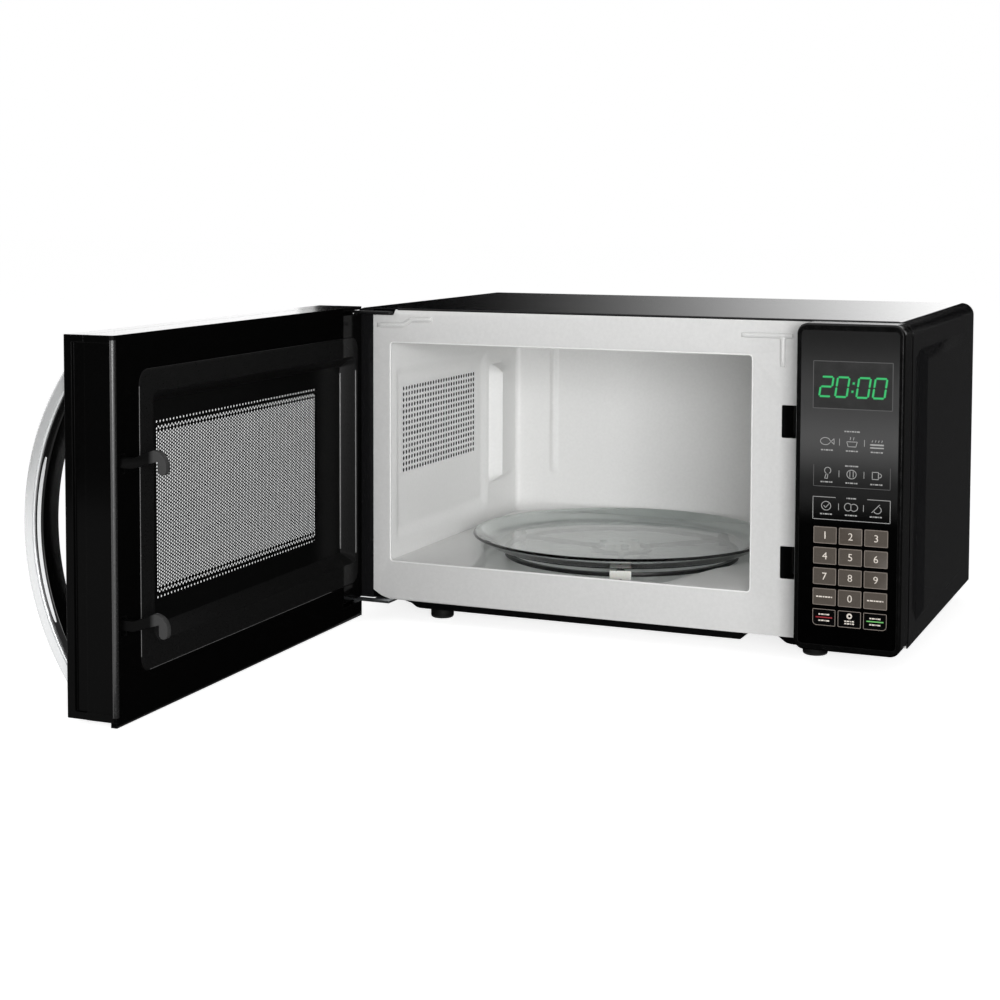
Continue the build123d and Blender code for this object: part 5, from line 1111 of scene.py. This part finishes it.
def rod(a_range, n, z_range, radius, sides=8):
    """A round rod between two places on the door: a circle about the line between them, carried
    from one to the other and closed by flat ends."""
    ends = joined(a_range, n, z_range)
    ahead = (ends[1] - ends[0]) / np.linalg.norm(ends[1] - ends[0])
    across = np.array((0.0, 1.0, 0.0))
    turn = arc(0, 360, sides + 1)[:-1]
    ring = radius * (turn[:, :1] * across + turn[:, 1:] * np.cross(ahead, across))
    return capped(on_door(*np.moveaxis(ends[:, None] + ring, -1, 0)))


# Satin moulding: black with an even low sheen; its edges' bright lines are painted highlights.
satin_abs = new_material(
    "satin_black_moulding", {"IOR": 1.5, "Specular IOR Level": 0.06}, grain_mm=0.8,
    colours=("#141414", "#191919"), roughness=(0.26, 0.34), height_mm=0.003,
)
cover_lines = [
    cover_line(COVER_A, COVER_Z, 0, COVER_CORNER_R, COVER_TOP + COVER_SIDE),
    *[cover_line(COVER_A, COVER_Z, COVER_EDGE_R * (1 - c), COVER_CORNER_R,
                 COVER_TOP + COVER_EDGE_R * (1 - s)) for c, s in arc(0, 90, 5)],
    *[cover_line(FUNNEL_A, FUNNEL_Z, COVER_EDGE_R * s, FUNNEL_CORNER_R,
                 COVER_TOP + COVER_EDGE_R * (1 - c)) for c, s in arc(0, FUNNEL_LEAN, 5)],
    cover_line(FUNNEL_A, FUNNEL_Z, FUNNEL_IN, FUNNEL_CORNER_R, SCREEN_N - FUNNEL_GAP),
]
cover = make_piece("moulded_choke_cover", [grid(np.stack(cover_lines), wrap_columns=True)],
                   satin_abs, "door")
thicken(cover, COVER_T)
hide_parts("choke_cover")

# Thin grey rods along the cover's long edges and the funnel's edges: a painted highlight where
# the light grazes the black moulding.
edge_highlight_grey = new_material(
    "grey_painted_edge_highlight", {"IOR": 1.5}, grain_mm=1.0, colours=("#6a6a6a", "#767676"),
    roughness=(0.2, 0.3), height_mm=0.001,
)
make_piece("cover_painted_edge_highlights", [patch for bead in EDGE_HIGHLIGHT_RODS for patch in rod(*bead)],
           edge_highlight_grey, "door")

# Door window: a flat pane of grey-tinted float glass with rounded corners, laid in the rebate
# behind the opening of the door's front.

# Float glass: flat and clear, with a faint grey tint and the slightest draw lines.
window_glass = new_material(
    "grey_tinted_float_glass", {"IOR": 1.52, "Transmission Weight": 1.0}, grain_mm=40.0,
    colours=("#f6f8f8", "#fafbfb"), roughness=(0.0, 0.01), height_mm=0.002, detail=1.0,
)
dress(["door_window"], window_glass)

# Handle: a bow moulded in ABS and lacquered silver, with a black liner behind it for the fingers;
# both are held by screws through the door's front at their ends.
BOW_CENTRE = (-108.63, 128.75)
BOW_R = (172.83, 181.83)
BOW_A = (340.0, 362.0)
BOW_EDGE_R = 2.4
BOW_BACK_R = 0.3
BOW_GROOVE_R = (173.6, 174.4)
BOW_GROOVE = 0.8
BOW_GROOVE_LEAN = 0.15
BOW_FOOT = 34.8
BOW_STEPS = 72
END_ARC = 7
LINER_R = 166.83
LINER_A = (341.5, 360.5)
LINER_EDGE_R = 1.6
LINER_HIGHLIGHT_R = (168.7, 171.5)
LINER_HIGHLIGHT_TURN = (-22.8, 16.3)
LINER_HIGHLIGHT_LIFT = 0.06


def on_bow(a, radius, turn):
    """A place on the door's handle: along the door, and out from the bow's middle by a turn."""
    return on_door(a, BOW_CENTRE[0] + radius * np.cos(turn), BOW_CENTRE[1] + radius * np.sin(turn))


def bow(profile):
    """A profile of radii and places along the door, carried round the bow's arc. Each point's
    arc ends where it meets the door's front, and a flat cap closes either end."""
    radius, a = profile.T
    share = np.linspace(-1, 1, BOW_STEPS)[:, None]
    return capped(on_bow(a, radius, share * np.arccos((BOW_FOOT - BOW_CENTRE[0]) / radius)))


bow_profile = rounded_rectangle(BOW_R, BOW_A, (BOW_EDGE_R, BOW_BACK_R, BOW_BACK_R, BOW_EDGE_R),
                                END_ARC)
groove = np.array([
    (BOW_GROOVE_R[1] + BOW_GROOVE_LEAN, BOW_A[1]), (BOW_GROOVE_R[1], BOW_A[1] - BOW_GROOVE),
    (BOW_GROOVE_R[0], BOW_A[1] - BOW_GROOVE), (BOW_GROOVE_R[0] - BOW_GROOVE_LEAN, BOW_A[1]),
])
bow_profile = np.concatenate((bow_profile[:END_ARC], groove, bow_profile[END_ARC:]))
# Silver lacquer: fine flakes of aluminium in a clear coat, bright and a little soft.
silver_lacquer = new_material(
    "silver_lacquered_abs", {"Metallic": 0.6}, grain_mm=0.9, colours=("#dadbdc", "#dedfdf"),
    roughness=(0.2, 0.24), height_mm=0.0006,
)
handle = make_piece("silver_bow", bow(bow_profile), silver_lacquer, "door")
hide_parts("door_handle")
liner_profile = rounded_rectangle((LINER_R, BOW_R[0]), LINER_A,
                                  (BOW_BACK_R, LINER_EDGE_R, LINER_EDGE_R, BOW_BACK_R), END_ARC)
# Black ABS with a fine even grain, which keeps its shine low.
liner_abs = new_material(
    "fine_grained_black_abs", {"IOR": 1.53, "Specular IOR Level": 0.15}, grain_mm=0.8,
    colours=("#030303", "#050505"), roughness=(0.14, 0.2), height_mm=0.001,
)
liner = make_piece("bow_liner", bow(liner_profile), liner_abs, "door")
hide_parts("handle_liner")

# A painted highlight lies on the liner's front: a silver strip along the arc whose width falls to
# nothing at both ends, as the root of one less the sixth power of the place along it.
share = np.linspace(-1, 1, 61)[:, None]
half_width = np.sqrt(1 - share ** 6) * (LINER_HIGHLIGHT_R[1] - LINER_HIGHLIGHT_R[0]) / 2
highlight_r = (LINER_HIGHLIGHT_R[0] + LINER_HIGHLIGHT_R[1]) / 2 + half_width * np.linspace(-1, 1, 4)
highlight_strip = on_bow(LINER_A[1] + LINER_HIGHLIGHT_LIFT, highlight_r, np.radians(np.interp(share, (-1, 1), LINER_HIGHLIGHT_TURN)))
liner_highlight = make_piece("liner_painted_highlight", [grid(highlight_strip[1:-1])], silver_lacquer,
                       "door")
thicken(liner_highlight, LINER_HIGHLIGHT_LIFT / 2)

# Latch lever and hinges: a moulded lever with two hooks that slides in the door on its spring,
# and two pressed brackets, the upper one black and the lower one zinc-plated, screwed behind the
# front plate, whose pins carry the door.
HEAD_X = (-0.1905, -0.1865)
SPRING_WIRE = 0.8
SPRING_TURNS = 7
SPRING_STEPS = 24

# Glass-filled nylon: black and hard, with a dry satin face where the fibres show, and grey on
# the hooks' heads: a painted highlight where the light falls on them.
latch_nylon = new_material(
    "glass_filled_black_nylon", {"IOR": 1.53, "Specular IOR Level": 0.04}, grain_mm=0.7,
    colours=("#030303", "#050505"), roughness=(0.3, 0.42), height_mm=0.006,
)
# The hooks' heads are mixed towards grey by their place across: a painted highlight.
tree = latch_nylon.node_tree
colour = tree.nodes["Principled BSDF"].inputs["Base Color"]
place = add_node(tree, "TexCoord").outputs["Object"]
across = add_node(tree, "SeparateXYZ", links={"Vector": place}).outputs["X"]
wear_and_highlight_share = add_node(tree, "MapRange", {"From Min": HEAD_X[0], "From Max": HEAD_X[1]}, {"Value": across})
head_painted_highlight = add_node(tree, "Mix", {"data_type": "RGBA", 7: linear("#3c3c3c")},
                  {0: wear_and_highlight_share.outputs["Result"], 6: colour.links[0].from_socket})
tree.links.new(head_painted_highlight.outputs[2], colour)
dress(["latch_lever"], latch_nylon, 0.9, 3)
dress(["upper_hinge"], coated_steel, 0.3)
dress(["lower_hinge"], zinc, 0.3)

# The lever's spring is a helix: a circle of wire carried round the turns of a coil.
spring_low, spring_high = (np.array(corner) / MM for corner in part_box("latch_spring"))
spring_length = spring_high[2] - spring_low[2]
coil_r = (spring_high[0] - spring_low[0] - SPRING_WIRE) / 2
coil_turn = np.linspace(0, 2 * math.pi * SPRING_TURNS, SPRING_STEPS * SPRING_TURNS + 1)
coil_out = joined(np.cos(coil_turn), np.sin(coil_turn), 0.0)
coil_rise = (spring_length - SPRING_WIRE) * coil_turn / coil_turn[-1]
coil_middle = (spring_low + spring_high) / 2
coil_foot = (coil_middle[0], coil_middle[1], spring_low[2] + SPRING_WIRE / 2)
coil_path = coil_foot + coil_r * coil_out + joined(0.0, 0.0, coil_rise)
coil_ahead = np.gradient(coil_path, axis=0)
coil_ahead /= np.linalg.norm(coil_ahead, axis=1, keepdims=True)
wire_turn = arc(0, 360, 9)[:-1] * SPRING_WIRE / 2
wire = (coil_path[:, None] + wire_turn[:, :1] * coil_out[:, None]
        + wire_turn[:, 1:] * np.cross(coil_out, coil_ahead)[:, None])
spring = make_piece("wound_latch_spring", capped(wire), zinc, "door")
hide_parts("latch_spring")
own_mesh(spring)

# Floor, light and camera: a white sweep, soft boxes in front, dark and bright cards that only
# reflections see, and the photograph's viewpoint.
FLOOR_HALF = 12.0
FLOOR_LIFT = 0.78
SKY_DIFFUSE = 0.24
AIM = (0.0, -0.15, 0.13)
WHITE = linear("#ffffff")
CARD_GRADE = (-4.0, -1.05)
CARD_CURVE = 2.5
FAR_Y = (8.0, 8.0)
NEAR_Z = 0.002
LAMPS = (
    ("front_soft_box", (1.15, -2.4, 0.42), (1.0, 0.8), 42.0),
    ("left_soft_box", (-1.0, -2.4, 0.6), (1.2, 1.0), 11.0),
    ("strip_soft_box", (2.2, -1.6, 0.6), (0.4, 1.0), 7.0),
)
CAMERA_PLACE = (0.48331, -1.54607, 0.34522)
CAMERA_RIGHT = (0.91151463, 0.41126568, 0.001276)
CAMERA_UP = (-0.02708192, 0.05692694, 0.99801097)
CAMERA_FORWARD = (-0.41037502, 0.90973615, -0.0630276)
CAMERA_FILM = 36
CAMERA_LENS = 68.74
CAMERA_SHIFT = (0.06, -0.18)
CAMERA_REACH = 50


def seen_rays(tree):
    """1 for rays from the camera, off glossy faces and through glass, and 0 for all others."""
    rays = add_node(tree, "LightPath").outputs
    seen = add_node(tree, "Math", {"operation": "MAXIMUM"},
                    {0: rays["Is Camera Ray"], 1: rays["Is Glossy Ray"]})
    return add_node(tree, "Math", {"operation": "MAXIMUM"},
                    {0: seen.outputs[0], 1: rays["Is Transmission Ray"]}).outputs[0]


def staged_sheet(name, x, y, z, material):
    """A flat four-cornered studio sheet between two values of x, y and z: lying where both z are
    the same, else standing on the line from its first x and y to its last."""
    if z[0] == z[1]:
        corners = [(x[0], y[0], z[0]), (x[1], y[0], z[0]), (x[1], y[1], z[0]), (x[0], y[1], z[0])]
    else:
        corners = [(x[0], y[0], z[0]), (x[1], y[1], z[0]), (x[1], y[1], z[1]), (x[0], y[0], z[1])]
    mesh = bpy.data.meshes.new(name)
    mesh.from_pydata(corners, [], [(0, 1, 2, 3)])
    mesh.materials.append(material)
    sheet = bpy.data.objects.new(name, mesh)
    bpy.context.scene.collection.objects.link(sheet)
    return sheet


# Matt backdrop paper: white, lifted so that it reads as white where no shadow falls.
floor_paper, tree, shader = plain_material("white_backdrop_paper", {
    "Base Color": linear("#f4f4f4"), "Roughness": 0.9, "Specular IOR Level": 0.0,
    "Emission Color": WHITE,
})
lift = add_node(tree, "Math", {"operation": "MULTIPLY", 1: FLOOR_LIFT}, {0: seen_rays(tree)})
tree.links.new(lift.outputs[0], shader.inputs["Emission Strength"])
floor_range = (-FLOOR_HALF, FLOOR_HALF)
staged_sheet("floor", floor_range, floor_range, (0, 0), floor_paper)

# Cards that only reflections see: black velvet near the oven, charcoal beside its right-hand
# bend, one far behind that grades from black to white for the glossy top, and a bright one for
# the door's top.
dull = {"Base Color": linear("#010101"), "Roughness": 1.0, "Specular IOR Level": 0.0}
velvet = plain_material("black_velvet_card", dull)[0]
charcoal = plain_material("charcoal_card", {**dull, "Emission Color": WHITE,
                                            "Emission Strength": 0.03})[0]
bright = plain_material("bright_card", {"Emission Color": WHITE, "Emission Strength": 1.7})[0]
graded, tree, shader = plain_material("graded_card", {
    "Base Color": linear("#000000"), "Specular IOR Level": 0.0, "Emission Strength": 1.5,
})
place = add_node(tree, "TexCoord").outputs["Object"]
across = add_node(tree, "SeparateXYZ", links={"Vector": place}).outputs["X"]
grade = add_node(tree, "MapRange", {"From Min": CARD_GRADE[0], "From Max": CARD_GRADE[1]},
                 {"Value": across})
curve = add_node(tree, "Math", {"operation": "POWER", 1: CARD_CURVE},
                 {0: grade.outputs["Result"]})
tree.links.new(curve.outputs[0], shader.inputs["Emission Color"])
CARDS = (
    ("graded_card", (-4.6, -1.0), FAR_Y, (NEAR_Z, 3.0), graded),
    ("bright_card", (-8.0, -4.7), FAR_Y, (NEAR_Z, 3.0), bright),
    ("behind_card", (-0.95, 2.2), FAR_Y, (NEAR_Z, 2.2), velvet),
    ("front_card", (-0.2185, 0.24), (-0.176, -0.176), (NEAR_Z, 0.258), velvet),
    ("side_card", (0.15, 0.95), (0.16, 0.16), (NEAR_Z, 0.25), charcoal),
    ("right_card", (0.95, 0.95), (-0.5, 0.8), (NEAR_Z, 0.6), velvet),
    ("left_card", (-1.5, -1.5), (-0.6, 1.5), (NEAR_Z, 0.25), velvet),
    ("front_left_card", (-1.7, -0.6), (-1.3, -1.3), (NEAR_Z, 0.4), velvet),
    ("floor_card", (-0.2185, 0.228), (-0.6, 0.16), (NEAR_Z, NEAR_Z), velvet),
    ("side_floor_card", (0.228, 0.95), (-0.6, 0.16), (NEAR_Z, NEAR_Z), charcoal),
)
for card in [staged_sheet(*row) for row in CARDS]:
    card.visible_camera = False
    card.visible_diffuse = False
    card.visible_transmission = False
    card.visible_shadow = False

world = bpy.data.worlds.new("studio")
bpy.context.scene.world = world
world.use_nodes = True
tree = world.node_tree
sky = tree.nodes["Background"]
sky.inputs["Color"].default_value = WHITE
strength = add_node(tree, "MapRange", {"To Min": SKY_DIFFUSE, "To Max": 1.0},
                    {"Value": seen_rays(tree)})
tree.links.new(strength.outputs["Result"], sky.inputs["Strength"])

for name, spot, size, power in LAMPS:
    lamp = bpy.data.lights.new(name, "AREA")
    lamp.shape = "RECTANGLE"
    lamp.size, lamp.size_y = size
    lamp.energy = power
    stand = bpy.data.objects.new(name, lamp)
    bpy.context.scene.collection.objects.link(stand)
    stand.rotation_euler = (Vector(AIM) - Vector(spot)).to_track_quat("-Z", "Y").to_euler()
    stand.location = spot

lens = bpy.data.cameras.new("camera")
lens.sensor_width, lens.lens = CAMERA_FILM, CAMERA_LENS
lens.shift_x, lens.shift_y = CAMERA_SHIFT
lens.clip_end = CAMERA_REACH
camera = bpy.data.objects.new("camera", lens)
bpy.context.scene.collection.objects.link(camera)
axes = zip(CAMERA_RIGHT, CAMERA_UP, (-part for part in CAMERA_FORWARD), CAMERA_PLACE)
camera.matrix_world = Matrix([*axes, (0, 0, 0, 1)])
bpy.context.scene.camera = camera
bpy.context.scene.view_settings.view_transform = "Standard"
